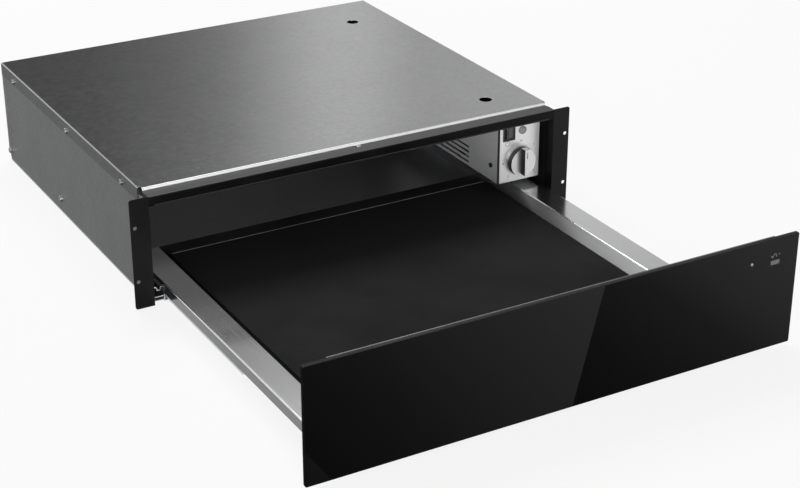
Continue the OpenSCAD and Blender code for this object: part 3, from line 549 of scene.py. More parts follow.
SHEET_EASE = 0.12 * MM
BAR_EASE = 0.32 * MM
COVER_T = 0.8 * MM
TAB_REACH = 5 * MM
COVER_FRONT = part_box("top_cover")[0].y + TAB_REACH
COVER_SIDE_H = 17 * MM
COVER_FOLD_H = 3.2 * MM
FOLD_R = 2.0 * MM
FRONT_FOLD_R = 2.8 * MM
FRONT_BEND = 2.7 * MM
NOTCH_X = 4 * MM
NOTCH_Y = 6 * MM
COVER_HOLE_R = 8 * MM
CUTTER_LEN = 12 * MM
COVER_HOLES = ((0.213, -0.1855), (0.213, 0.1695))
TAB_LEFT = 0.25 * MM
TAB_RIGHT = 5.75 * MM
SIDE_SKIN = 0.2 * MM
CLEARANCE = 1.5 * MM
# Depth of the black strip along the housing's front edge: a painted shadow gap beside the control plate.
HOUSING_SHADOW_STRIP = 1.8 * MM
# Share of the seal's height below which it is black enamel: painted shade under the bar.
SEAL_SHADE = 0.75


def make_cover():
    """One folded sheet: notched at the front corners, turned down all round, with a small tab."""
    lo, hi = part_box("top_cover")
    front = COVER_FRONT
    lid = plane("top_cover_sheet", (lo.x, front, 0), (hi.x, hi.y, hi.z))
    start_edit(lid, "EDGE")
    for place, normal in (
        ((hi.x - NOTCH_X, 0, 0), (1, 0, 0)),
        ((lo.x + NOTCH_X, 0, 0), (1, 0, 0)),
        ((0, front + NOTCH_Y, 0), (0, 1, 0)),
    ):
        bpy.ops.mesh.select_all(action="SELECT")
        bpy.ops.mesh.bisect(plane_co=place, plane_no=normal)
    bpy.ops.mesh.select_mode(type="FACE")
    choose_faces(lid, lambda c, n: abs(c.x) > hi.x - NOTCH_X and c.y < front + NOTCH_Y)
    bpy.ops.mesh.delete(type="FACE")
    bpy.ops.mesh.select_mode(type="EDGE")
    choose_edges(lid, ends_at(x=lo.x), ends_at(x=hi.x), ends_at(y=hi.y))
    push((0, 0, -COVER_SIDE_H))
    choose_edges(lid, ends_at(y=front))
    push((0, 0, -COVER_FOLD_H))
    choose_edges(lid, ends_at(x=lo.x, z=hi.z), ends_at(x=hi.x, z=hi.z), ends_at(y=hi.y, z=hi.z))
    bpy.ops.mesh.bevel(offset=FOLD_R, segments=6, profile=0.5, clamp_overlap=False)
    choose_edges(lid, ends_at(y=front, z=hi.z))
    bpy.ops.mesh.bevel(offset=FRONT_FOLD_R, segments=6, profile=0.5, clamp_overlap=False)
    stop_edit()
    clean(lid)
    finish_with(lid, "SOLIDIFY", thickness=COVER_T, offset=-1, use_even_offset=True)
    for x, y in COVER_HOLES:
        cut(lid, drum("hole", "z", (x, y, hi.z), COVER_HOLE_R, CUTTER_LEN, 72))
    tab_z = hi.z - COVER_FOLD_H
    tab_back = front + COVER_T / 2
    weld(lid, cube("tab", (TAB_LEFT, front - TAB_REACH, tab_z), (TAB_RIGHT, tab_back, tab_z + COVER_T)))
    ease_edges(lid, SHEET_EASE, angle=40)
    stand_in(lid, "top_cover", COVER_STEEL)
    # The cover's outer sides take a darker copy as painted shade, and its front fold a lighter copy as a
    # painted highlight.
    second_finish(lid, COVER_SIDE_SHADE_STEEL, lambda c, n: abs(n.x) > 0.9 and abs(c.x) > hi.x - SIDE_SKIN)
    second_finish(lid, BEND_STEEL, lambda c, n: c.y < front + FRONT_BEND and -0.7 < n.y < -0.15)
    second_finish(lid, FOLD_HIGHLIGHT_STEEL, lambda c, n: c.y < front + FRONT_BEND and n.y <= -0.7)


def looks_front_or_up(c, n):
    return n.y < -0.5 or n.z > 0.5


def make_sheets():
    """Sheets and profiles that keep the CAD shape, with their cut edges eased."""
    housing_lo, housing_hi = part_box("control_housing")
    seal_lo, seal_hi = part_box("front_seal")
    # lip is where the painted shadow strip on the housing's front ends.
    lip = housing_lo.y + HOUSING_SHADOW_STRIP
    shade_line = seal_lo.z * (1 - SEAL_SHADE) + seal_hi.z * SEAL_SHADE
    scores = {
        "control_housing": ((0, lip, 0), (0, 1, 0)),
        "front_seal": ((0, 0, shade_line), (0, 0, 1)),
    }
    # The control housing takes a lighter copy of the galvanised steel as painted light; the flanges take
    # their own black paint.
    main_finish = {
        "control_housing": LIGHTENED_HOUSING_STEEL,
        "mounting_flange_left": FLANGE_PAINT,
        "mounting_flange_right": FLANGE_PAINT,
    }
    # Second finishes. The right side's inner face, the housing's front strip, the right flange's inner
    # face, the bar's front and underside and the seal's lower part are darker as painted shade; the inner
    # faces of the base and rear take a slightly rougher copy of the steel.
    inner_finish = {
        "base_panel": (DULL_SHEET, looks_front_or_up),
        "rear_panel": (DULL_SHEET, looks_front_or_up),
        "side_panel_right": (PAINTED_SHADE_SHEET, lambda c, n: n.x < -0.5),
        "control_housing": (BLACK_ENAMEL, lambda c, n: c.y < lip and (n.y < -0.5 or n.x < -0.5)),
        "mounting_flange_right": (SHADED_BAR_PAINT, lambda c, n: n.x < -0.5),
        "frame_bar": (SHADED_BAR_PAINT, lambda c, n: n.y < -0.5 or n.z < -0.5),
        "front_seal": (BLACK_ENAMEL, lambda c, n: c.z < shade_line),
    }
    for node in (
        "base_panel", "side_panel_left", "side_panel_right", "rear_panel", "control_housing",
        "mounting_flange_left", "mounting_flange_right", "frame_bar", "front_seal",
        "runner_fixed_left", "runner_fixed_right", "runner_middle_left", "runner_middle_right",
        "runner_inner_left", "runner_inner_right", "drawer_rear_wall", "base_tray", "front_carrier",
        "front_inner_panel", "front_bracket_left", "front_bracket_right", "cord_gland",
    ):
        piece = take_over(node, node + "_dressed", BAR_EASE if node == "frame_bar" else SHEET_EASE)
        if node == "control_housing":
            place = (*COVER_HOLES[0], housing_hi.z)
            cut(piece, drum("clearance", "z", place, COVER_HOLE_R + CLEARANCE, CUTTER_LEN, 72))
        if node in scores:
            score(piece, *scores[node])
        stand_in(piece, node, main_finish.get(node))
        if node in inner_finish:
            second_finish(piece, *inner_finish[node])


# Drawer

RAIL_FOLD_R = 1.9 * MM
RAIL_T = 1.0 * MM
RAIL_SKIRT = 13.2 * MM
RAIL_EASE = 0.15 * MM
PANE_CORNER = 1.6 * MM
PANE_FACE_EASE = 0.8 * MM
PANE_BACK_EASE = 0.4 * MM
BASE_CORNER_R = 4 * MM
BASE_EASE = 0.9 * MM
BASE_HIGHLIGHT_STRIP = 1.7 * MM
STOP_SHARE = 0.6
STOP_TAPER = 0.8
STOP_EASE = 0.3 * MM


def make_rails():
    """Folded rails: a level top, a deep inner wall and a shallow outer wall."""
    lo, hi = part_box("drawer_rail_left")
    rail = plane("drawer_rail_left_folded", lo, hi)
    inner_edge = ends_at(x=hi.x, z=hi.z)
    outer_edge = ends_at(x=lo.x, z=hi.z)
    start_edit(rail, "EDGE")
    choose_edges(rail, inner_edge)
    push((0, 0, lo.z - hi.z))
    choose_edges(rail, outer_edge)
    push((0, 0, -RAIL_SKIRT))
    choose_edges(rail, inner_edge, outer_edge)
    bpy.ops.mesh.bevel(offset=RAIL_FOLD_R, segments=7, profile=0.5, clamp_overlap=False)
    stop_edit()
    clean(rail)
    finish_with(rail, "SOLIDIFY", thickness=RAIL_T, offset=-1, use_even_offset=True)
    ease_edges(rail, RAIL_EASE, angle=40)
    stand_in(rail, "drawer_rail_left")
    # The inner walls of both rails take the lighter rail wall steel: partly painted light.
    second_finish(rail, LIGHTENED_RAIL_WALL_STEEL, lambda c, n: abs(n.x) > 0.9 and c.x > hi.x - 2 * RAIL_T)
    twin = mirror_twin(rail, "drawer_rail_right_folded")
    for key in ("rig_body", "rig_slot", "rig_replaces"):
        del twin[key]
    twin.parent = None
    stand_in(twin, "drawer_rail_right")
    second_finish(twin, LIGHTENED_RAIL_WALL_STEEL, lambda c, n: abs(n.x) > 0.9 and c.x < 2 * RAIL_T - hi.x)


def make_front_glass():
    lo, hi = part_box("front_glass")
    pane = cube("front_glass_pane", lo, hi)
    start_edit(pane, "EDGE")
    choose_edges(pane, runs_along("y"))
    bpy.ops.mesh.bevel(offset=PANE_CORNER, segments=5)
    bpy.ops.mesh.select_all(action="DESELECT")
    for y, ease in ((lo.y, PANE_FACE_EASE), (hi.y, PANE_BACK_EASE)):
        choose_edges(pane, ends_at(y=y))
        bpy.ops.mesh.bevel(offset=ease, segments=2)
    stop_edit()
    clean(pane)
    smooth(pane, 30)
    stand_in(pane, "front_glass")
    # The top faces take the ground edge, and the sides a darker copy of it as painted shade.
    second_finish(pane, GROUND_EDGE, lambda c, n: n.z > 0.3)
    second_finish(pane, SHADED_EDGE, lambda c, n: abs(n.x) > 0.3 and n.z <= 0.3)


def make_base_glass():
    """The heated floor: a black pane with a thin strip along its rear edge painted light as a highlight."""
    lo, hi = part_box("glass_base_plate")
    strip = hi.y - BASE_HIGHLIGHT_STRIP
    pane = cube("base_glass_pane", lo, hi)
    start_edit(pane, "EDGE")
    choose_edges(pane, runs_along("z"))
    bpy.ops.mesh.bevel(offset=BASE_CORNER_R, segments=6)
    for z in (lo.z, hi.z):
        choose_edges(pane, ends_at(z=z))
        bpy.ops.mesh.bevel(offset=BASE_EASE, segments=3)
    bpy.ops.mesh.select_all(action="SELECT")
    bpy.ops.mesh.bisect(plane_co=(0, strip, 0), plane_no=(0, 1, 0))
    stop_edit()
    clean(pane)
    smooth(pane, 30)
    stand_in(pane, "glass_base_plate")
    second_finish(pane, BASE_EDGE_HIGHLIGHT, lambda c, n: c.y > strip and n.z > 0.5)


def make_bumpers():
    """Small rubber stops that taper towards the casing."""
    lo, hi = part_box("front_bumpers")
    r = (hi.z - lo.z) / 2
    middle = (lo.z + hi.z) / 2
    stops = []
    for side in (-1, 1):
        x = side * (hi.x - r)
        stop = drum("stop", "y", (x, (lo.y + hi.y) / 2, middle), r * STOP_SHARE, hi.y - lo.y, 48)
        start_edit(stop)
        choose_faces(stop, lambda c, n: n.y > 0.9)
        bpy.ops.transform.resize(value=(STOP_TAPER, 1, STOP_TAPER), center_override=(x, hi.y, middle))
        stop_edit()
        stops.append(ease_edges(stop, STOP_EASE, 3))
    stand_in(join("front_bumper_stops", *stops), "front_bumpers")


# Controls

PANEL_LO, PANEL_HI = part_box("control_plate")
PANEL_FACE = PANEL_LO.y
PANEL_MID = (PANEL_LO.y + PANEL_HI.y) / 2
SWITCH_LO, SWITCH_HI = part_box("switch_body")
SWITCH_X = (SWITCH_LO.x + SWITCH_HI.x) / 2
SWITCH_Z = (SWITCH_LO.z + SWITCH_HI.z) / 2
KNOB_LO, KNOB_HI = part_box("knob")
KNOB_X = (KNOB_LO.x + KNOB_HI.x) / 2
KNOB_Z = (KNOB_LO.z + KNOB_HI.z) / 2
KNOB_R = (KNOB_HI.x - KNOB_LO.x) / 2
LAMP_LO, LAMP_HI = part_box("lamp_lens")
LAMP_X = (LAMP_LO.x + LAMP_HI.x) / 2
LAMP_Z = (LAMP_LO.z + LAMP_HI.z) / 2

# Half widths and half heights round the switch's middle
WINDOW_HALF = (7.3 * MM, 10.8 * MM)
CASE_HALF = (7.15 * MM, 10.65 * MM)
WELL_HALF = (6.6 * MM, 9.1 * MM)
WELL_DEPTH = 10 * MM
CASE_LAP = 0.3 * MM
BEZEL_EASE = 0.35 * MM
TILE_EDGE = 2 * MM
TILE_SHARE = 0.62
TILE_SHIFT = 0.6 * MM
TILE_EASE = 0.2 * MM

PLATE_EASE = 0.15 * MM
LAMP_HOLE_R = 4.15 * MM
SPINDLE_HOLE_R = 4.65 * MM
HOLE_REACH = 10 * MM
LAMP_RIM = 0.14
LAMP_FOOT = 0.4
LAMP_EASE = 0.1 * MM

# The dome of the lamp, from rim to crown: each ring's share of the last, and its rise
DOME = ((0.93, 0.16), (0.86, 0.13), (0.8, 0.1), (0.72, 0.09), (0.6, 0.07), (0.4, 0.05))


def round_switch(name, half, near, far):
    """A block round the switch's middle, from one y to another."""
    across, up = half
    return cube(name, (SWITCH_X - across, near, SWITCH_Z - up), (SWITCH_X + across, far, SWITCH_Z + up))


def make_control_plate():
    panel = cube("control_plate_sheet", PANEL_LO, PANEL_HI)
    cut(
        panel,
        round_switch("switch window", WINDOW_HALF, PANEL_MID - HOLE_REACH, PANEL_MID + HOLE_REACH),
        drum("lamp hole", "y", (LAMP_X, PANEL_MID, LAMP_Z), LAMP_HOLE_R, 2 * HOLE_REACH, 48),
        drum("spindle hole", "y", (KNOB_X, PANEL_MID, KNOB_Z), SPINDLE_HOLE_R, 2 * HOLE_REACH, 48),
    )
    ease_edges(panel, PLATE_EASE)
    stand_in(panel, "control_plate")


def make_lamp():
    """A domed lens on a flat rim."""
    depth = LAMP_HI.y - LAMP_LO.y
    r = (LAMP_HI.x - LAMP_LO.x) / 2
    foot = depth * LAMP_FOOT
    lens = drum("lamp_lens_dome", "y", (LAMP_X, PANEL_FACE - foot / 2, LAMP_Z), r, foot)
    start_edit(lens)
    choose_faces(lens, lambda c, n: n.y < -0.9)
    bpy.ops.mesh.inset(thickness=r * LAMP_RIM)
    for share, rise in DOME:
        push((0, -depth * rise, 0))
        bpy.ops.transform.resize(value=(share, 1, share), center_override=(LAMP_X, PANEL_FACE, LAMP_Z))
    stop_edit()
    ease_edges(lens, LAMP_EASE, angle=50)
    smooth(lens, 50)
    stand_in(lens, "lamp_lens")


def make_switch():
    """A bezel with a lip round the rocker's well, and the rocker with a narrowed face."""
    bezel = cube("switch_bezel", SWITCH_LO, (SWITCH_HI.x, PANEL_FACE, SWITCH_HI.z))
    weld(bezel, round_switch("switch_case", CASE_HALF, PANEL_FACE - CASE_LAP, SWITCH_HI.y))
    cut(bezel, round_switch("well", WELL_HALF, SWITCH_LO.y - MM, PANEL_FACE + WELL_DEPTH))
    ease_edges(bezel, BEZEL_EASE, 3)
    stand_in(bezel, "switch_body")
    rocker = take_over("switch_rocker", "switch_rocker_tile", TILE_EASE)
    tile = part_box("switch_rocker")[1].x - SWITCH_X - TILE_EDGE
    start_edit(rocker)
    choose_faces(rocker, lambda c, n: n.y < -0.8 and abs(c.x - SWITCH_X) < tile)
    bpy.ops.transform.resize(value=(TILE_SHARE, 1, 1), center_override=(SWITCH_X + TILE_SHIFT, 0, SWITCH_Z))
    stop_edit()
    stand_in(rocker, "switch_rocker", ROCKER_PLASTIC)


DIAL_DEPTH = 8.4 * MM
RIM_R = KNOB_R - 0.4 * MM
RIM_T = 1.0 * MM
DIAL_LIP = 0.7 * MM
DIAL_DISH = 0.25 * MM
CONE_FOOT_R = 18.9 * MM
CONE_FACE_R = 18.4 * MM
CONE_DEPTH = 7.6 * MM
KNOB_WALL = 1.6 * MM
KNOB_HOLLOW = 3.6 * MM
GRIP_TOP = 19.8 * MM
GRIP_LOW = 15.4 * MM
GRIP_HALF = 3.7 * MM
GRIP_SEAT = 0.5 * MM
GROOVE_HALF = 0.5 * MM
GROOVE_DEPTH = 0.35 * MM
GROOVE_FOOT = KNOB_R * 0.36
LINE_HALF = 0.45 * MM
LINE_NEAR = 0.12 * MM
LINE_FAR = 0.4 * MM
LINE_FOOT = KNOB_R * 0.37
LINE_TOP = KNOB_R * 0.78
KNOB_EASE = 0.22 * MM
SHADE_NEAR = 0.4 * MM
SHADE_FAR = 1.2 * MM


def on_knob(name, half, near, far, low, high):
    """A block upright on the knob's middle line, from one y to another and from low to high."""
    return cube(name, (KNOB_X - half, near, KNOB_Z + low), (KNOB_X + half, far, KNOB_Z + high))


def make_knob():
    """A flanged conical dial, hollow behind, with a straight grip across it and a pointer line."""
    back, front = KNOB_HI.y, KNOB_LO.y
    dial_front = back - DIAL_DEPTH
    rim = drum("thermostat_knob_turned", "y", (KNOB_X, back - RIM_T / 2, KNOB_Z), RIM_R, RIM_T, 128)
    put_down()
    bpy.ops.mesh.primitive_cone_add(
        vertices=128, radius1=CONE_FOOT_R, radius2=CONE_FACE_R, depth=CONE_DEPTH,
        location=(KNOB_X, dial_front + CONE_DEPTH / 2, KNOB_Z), rotation=TURN["y"],
    )
    dial = named("dial cone")
    start_edit(dial)
    choose_faces(dial, lambda c, n: n.y < -0.9)
    bpy.ops.mesh.inset(thickness=DIAL_LIP)
    push((0, DIAL_DISH, 0))
    stop_edit()
    weld(rim, dial)
    start_edit(rim)
    choose_faces(rim, lambda c, n: n.y > 0.9)
    bpy.ops.mesh.inset(thickness=KNOB_WALL)
    push((0, -KNOB_HOLLOW, 0))
    stop_edit()
    grip = on_knob("grip", GRIP_HALF, front, dial_front + GRIP_SEAT, -GRIP_LOW, GRIP_TOP)
    start_edit(grip)
    choose_faces(grip, lambda c, n: n.y < -0.9)
    bpy.ops.transform.resize(value=(0.96, 1, 0.99), center_override=(KNOB_X, front, KNOB_Z))
    choose_faces(grip, lambda c, n: n.z < -0.9)
    bpy.ops.transform.resize(value=(0.9, 1, 1), center_override=(KNOB_X, front, KNOB_Z))
    stop_edit()
    weld(rim, grip)
    cut(rim, on_knob("groove", GROOVE_HALF, front - MM, front + GROOVE_DEPTH, GROOVE_FOOT, KNOB_R))
    ease_edges(rim, KNOB_EASE, 3, 28)
    stand_in(rim, "knob")
    # The cone's side and the grip's left side take a darker copy of the knob metal: painted shade.
    near, far = dial_front + SHADE_NEAR, back - SHADE_FAR
    second_finish(rim, KNOB_SHADE, lambda c, n: n.x < 0.5 and n.y > -0.6 and near < c.y < far)
    second_finish(rim, KNOB_SHADE, lambda c, n: n.x < -0.8 and c.y < dial_front)
    line = on_knob(
        "knob_pointer_line", LINE_HALF, front + LINE_NEAR, front + LINE_FAR, LINE_FOOT, LINE_TOP
    )
    ease_edges(line, 0.08 * MM)
    fit(line, "thermostat_knob", PRINT_GREY, "knob_metal")


# Print

INK_T = 0.06 * MM
POWER_X = KNOB_X - 19.1 * MM
POWER_Z = KNOB_Z + 25.9 * MM
POWER_R = 3.4 * MM
POWER_BAR = (0.6 * MM, 4.0 * MM, 0.5 * MM)
RING_LINE = 0.4 * MM
OFF_R = 1.0 * MM
NUMBER_SIZE = 4.6 * MM
OFF_MARK = (3, 26.4 * MM)
DIAL_NUMBERS = (("1", 49, 27 * MM), ("2", 131, 28 * MM), ("3", 222, 25.6 * MM), ("4", 269, 25.3 * MM))


def ring(name, centre, radius, width, face):
    """A flat printed ring just proud of a face that looks along -Y."""
    outer = drum(name, "y", (centre[0], face - INK_T / 2, centre[1]), radius + width / 2, INK_T, 40)
    return cut(outer, drum("inside", "y", (centre[0], face, centre[1]), radius - width / 2, 10 * MM, 40))


def stroke(name, a, b, width, face):
    """A printed stroke from a to b, points in x and z."""
    a, b = Vector((a[0], 0, a[1])), Vector((b[0], 0, b[1]))
    mid, run = (a + b) / 2, b - a
    put_down()
    bpy.ops.mesh.primitive_cube_add(
        size=1, location=(mid.x, face - INK_T / 2, mid.z), rotation=(0, -math.atan2(run.z, run.x), 0),
        scale=(run.length, INK_T, width),
    )
    return named(name)


def number(name, text, centre, face):
    """A printed number, upright on a face that looks along -Y."""
    put_down()
    bpy.ops.object.text_add(location=(centre[0], face, centre[1]), rotation=TURN["y"])
    mark = bpy.context.object
    mark.data.body = text
    mark.data.size = NUMBER_SIZE
    mark.data.align_x = "CENTER"
    mark.data.align_y = "CENTER"
    mark.data.extrude = INK_T / 2
    mark.data.resolution_u = 4
    bpy.ops.object.convert(target="MESH")
    return clean(named(name))


def on_dial(degrees, reach):
    """The point at an angle clockwise from the top, and at a reach from the knob's axis."""
    turn = math.radians(degrees)
    return KNOB_X + reach * math.sin(turn), KNOB_Z + reach * math.cos(turn)


def make_plate_print():
    """A plain power sign, an off mark and numbers round the knob."""
    foot, top, width = POWER_BAR
    marks = [
        ring("power ring", (POWER_X, POWER_Z), POWER_R, RING_LINE, PANEL_FACE),
        stroke("power bar", (POWER_X, POWER_Z + foot), (POWER_X, POWER_Z + top), width, PANEL_FACE),
        ring("dial off", on_dial(*OFF_MARK), OFF_R, RING_LINE, PANEL_FACE),
    ]
    for text, degrees, reach in DIAL_NUMBERS:
        marks.append(number("dial " + text, text, on_dial(degrees, reach), PANEL_FACE))
    fit(join("control_plate_print", *marks), "casing", PRINT_GREY, "panel_metal")


# Screws: one of each size is modelled and the rest are copies

CASING_HALF = 275 * MM
COVER_SCREW_Z = 126.6 * MM
COVER_SCREW_YS = (-177 * MM, 4.5 * MM, 203.5 * MM)
REAR_SCREW_Y = 245.2 * MM
REAR_SCREW_Z = 15 * MM
RUNNER_SCREW_SEAT = (274.2 * MM, 50.5 * MM, 18 * MM)
SHANK_R = 1.7 * MM

# Head radius, head height and shank length
SMALL_SCREW = (3.7 * MM, 2 * MM, 3 * MM)
LARGE_SCREW = (4.5 * MM, 2 * MM, 3.4 * MM)
TINY_SCREW = (3 * MM, 1.6 * MM, 3 * MM)


def make_screw(name, head_r, head_h, shank_len):
    """A pan-head screw with a cross recess, its seat at the origin and its head along +Z."""
    head = drum(name, "z", (0, 0, head_h / 2), head_r, head_h, 48)
    start_edit(head)
    choose_faces(head, lambda c, n: n.z > 0.9)
    bpy.ops.mesh.inset(thickness=head_r * 0.12)
    push((0, 0, head_h * 0.1))
    bpy.ops.transform.resize(value=(0.86, 0.86, 1), center_override=(0, 0, 0))
    bpy.ops.transform.translate(value=(0, 0, -head_h * 0.1))
    choose_faces(head, lambda c, n: n.z < -0.9)
    bpy.ops.mesh.inset(thickness=head_r - SHANK_R)
    push((0, 0, -shank_len))
    stop_edit()
    for turn in (math.pi / 4, math.pi * 3 / 4):
        put_down()
        bpy.ops.mesh.primitive_cube_add(
            size=1, location=(0, 0, head_h), rotation=(0, 0, turn),
            scale=(head_r * 1.25, head_r * 0.24, head_h * 0.9),
        )
        cutter = named("recess")
        start_edit(cutter)
        choose_faces(cutter, lambda c, n: n.z < -0.9)
        bpy.ops.transform.resize(value=(0.62, 0.62, 1), center_override=(0, 0, 0))
        stop_edit()
        cut(head, cutter)
    return ease_edges(head, head_r * 0.05, angle=40)


def drive(model, name, places, node, material=None):
    """Copies a screw to its places, each a point and the way that its head looks, and drops the model."""
    screws = []
    for k, (point, way) in enumerate(places):
        screw = another(model, f"{name}_{k}")
        spin = Matrix.Rotation(0.5 * k, 3, "Z").to_quaternion()
        screw.rotation_mode = "QUATERNION"
        screw.rotation_quaternion = Vector(way).to_track_quat("Z", "Y") @ spin
        screw.location = point
        screws.append(settle(screw))
    stand_in(join(name, *screws), node, material)
    bpy.data.objects.remove(model)


def make_screws():
    cover = [((s * CASING_HALF, y, COVER_SCREW_Z), (s, 0, 0)) for s in (-1, 1) for y in COVER_SCREW_YS]
    cover += [((s * CASING_HALF, REAR_SCREW_Y, REAR_SCREW_Z), (s, 0, 0)) for s in (-1, 1)]
    drive(make_screw("small screw", *SMALL_SCREW), "cover_screws_turned", cover, "cover_screws")
    x, y, z = RUNNER_SCREW_SEAT
    runner = [((s * x, y, z), (s, 0, 0)) for s in (-1, 1)]
    drive(make_screw("large screw", *LARGE_SCREW), "runner_screws_turned", runner, "runner_screws")
    lo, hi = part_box("housing_screws")
    seat = (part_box("control_housing")[0].x, (lo.y + hi.y) / 2, (lo.z + hi.z) / 2)
    tiny = make_screw("tiny screw", *TINY_SCREW)
    drive(tiny, "housing_screw_turned", [(seat, (-1, 0, 0))], "housing_screws", BLACK_PAINT)


# Marks on the front glass

SIGN_LEFT = 260 * MM
SIGN_RIGHT = 272.2 * MM
SIGN_FOOT = 105 * MM
SIGN_LINE = 0.9 * MM
SLATS = 7
SLAT_H = 6.4 * MM
LID_H = 6 * MM
DASH_H = 12.4 * MM
DASH_START = 10.2 * MM
DOT_R = 1.6 * MM

# Points of the heat wave, in millimetres from the sign's lower left corner
WAVE = ((0, 11.8), (2.2, 9.2), (4.6, 13.6), (6.4, 13.0), (8.0, 9.6))


def make_glass_marks():
    """A status dot and a small generic heat sign, printed on the front glass."""
    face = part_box("front_glass")[0].y
    lo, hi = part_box("status_light")
    dot_place = ((lo.x + hi.x) / 2, face - INK_T / 2, (lo.z + hi.z) / 2)
    dot = drum("status_dot", "y", dot_place, DOT_R, INK_T, 32)
    ease_edges(dot, 0.015 * MM)
    fit(dot, "drawer", PRINT_WHITE, "light_plastic")

    def line(name, start, end):
        return stroke(name, start, end, SIGN_LINE, face)

    marks = []
    pitch = (SIGN_RIGHT - SIGN_LEFT) / SLATS
    for k in range(SLATS):
        x = SIGN_LEFT + (k + 0.5) * pitch
        marks.append(stroke(f"slat {k}", (x, SIGN_FOOT), (x, SIGN_FOOT + SLAT_H), pitch * 0.8, face))
    for name, height in (("tray", SIGN_LINE / 2), ("lid", LID_H)):
        marks.append(line(name, (SIGN_LEFT, SIGN_FOOT + height), (SIGN_RIGHT, SIGN_FOOT + height)))
    wave = [(SIGN_LEFT + across * MM, SIGN_FOOT + up * MM) for across, up in WAVE]
    for start, end in zip(wave, wave[1:]):
        marks.append(line("wave", start, end))
    dash_z = SIGN_FOOT + DASH_H
    marks.append(line("dash", (SIGN_LEFT + DASH_START, dash_z), (SIGN_RIGHT, dash_z)))
    fit(join("heat_sign", *marks), "drawer", PRINT_PALE, "front_glass")


make_cover()
make_sheets()
make_rails()
make_front_glass()
make_base_glass()
make_bumpers()
make_control_plate()
make_lamp()
make_switch()
make_knob()
make_plate_print()
make_screws()
make_glass_marks()


# Studio: a pale floor, a pale sky, large soft lamps and cards that only reflections see

WHITE = (1, 1, 1, 1)


def seen_not_lit(tree):
    """1 where the camera, a reflection or a clear body looks, and 0 where a surface is lit."""
    path = tree.nodes.new("ShaderNodeLightPath")
    seen = path.outputs["Is Camera Ray"]
    for kind in ("Is Glossy Ray", "Is Transmission Ray"):
        node = tree.nodes.new("ShaderNodeMath")
        node.operation = "MAXIMUM"
        tree.links.new(seen, node.inputs[0])
        tree.links.new(path.outputs[kind], node.inputs[1])
        seen = node.outputs["Value"]
    return seen


def make_sky():
    """White where it is seen, and dimmer where it lights."""
    world = bpy.data.worlds.new("pale studio")
    bpy.context.scene.world = world
    world.use_nodes = True
    tree = world.node_tree
    tree.nodes.clear()
    mix = tree.nodes.new("ShaderNodeMixShader")
    tree.links.new(seen_not_lit(tree), mix.inputs["Fac"])
    for socket, strength in ((mix.inputs[1], 0.26), (mix.inputs[2], 1.0)):
        sky = tree.nodes.new("ShaderNodeBackground")
        sky.inputs["Color"].default_value = WHITE
        sky.inputs["Strength"].default_value = strength
        tree.links.new(sky.outputs["Background"], socket)
    out = tree.nodes.new("ShaderNodeOutputWorld")
    tree.links.new(mix.outputs["Shader"], out.inputs["Surface"])


def make_floor():
    """A pale floor that mostly glows where it is seen, so that only soft shadows stay."""
    put_down()
    bpy.ops.mesh.primitive_plane_add(size=40, location=(0, 0, 0))
    floor = bpy.context.object
    floor.name = "floor"
    material = bpy.data.materials.new("pale floor")
    material.use_nodes = True
    nodes, links = material.node_tree.nodes, material.node_tree.links
    shader = nodes["Principled BSDF"]
    shader.inputs["Base Color"].default_value = (0.86, 0.86, 0.86, 1)
    shader.inputs["Roughness"].default_value = 0.9
    glow = nodes.new("ShaderNodeEmission")
    glow.inputs["Strength"].default_value = 1.0
    share = nodes.new("ShaderNodeMath")
    share.operation = "MULTIPLY"
    share.inputs[1].default_value = 0.85
    links.new(seen_not_lit(material.node_tree), share.inputs[0])
    blend = nodes.new("ShaderNodeMixShader")
    links.new(share.outputs["Value"], blend.inputs["Fac"])
    links.new(shader.outputs["BSDF"], blend.inputs[1])
    links.new(glow.outputs["Emission"], blend.inputs[2])
    links.new(blend.outputs["Shader"], nodes["Material Output"].inputs["Surface"])
    floor.data.materials.append(material)


def make_softbox(name, place, target, size, watts):
    data = bpy.data.lights.new(name, "AREA")
    data.shape = "RECTANGLE"
    data.size, data.size_y = size
    data.energy = watts
    lamp = bpy.data.objects.new(name, data)
    bpy.context.scene.collection.objects.link(lamp)
    lamp.location = place
    lamp.rotation_euler = (Vector(target) - Vector(place)).to_track_quat("-Z", "Y").to_euler()


def even(grey):
    """One grey all over a card."""
    return ((0, grey), (1, grey))


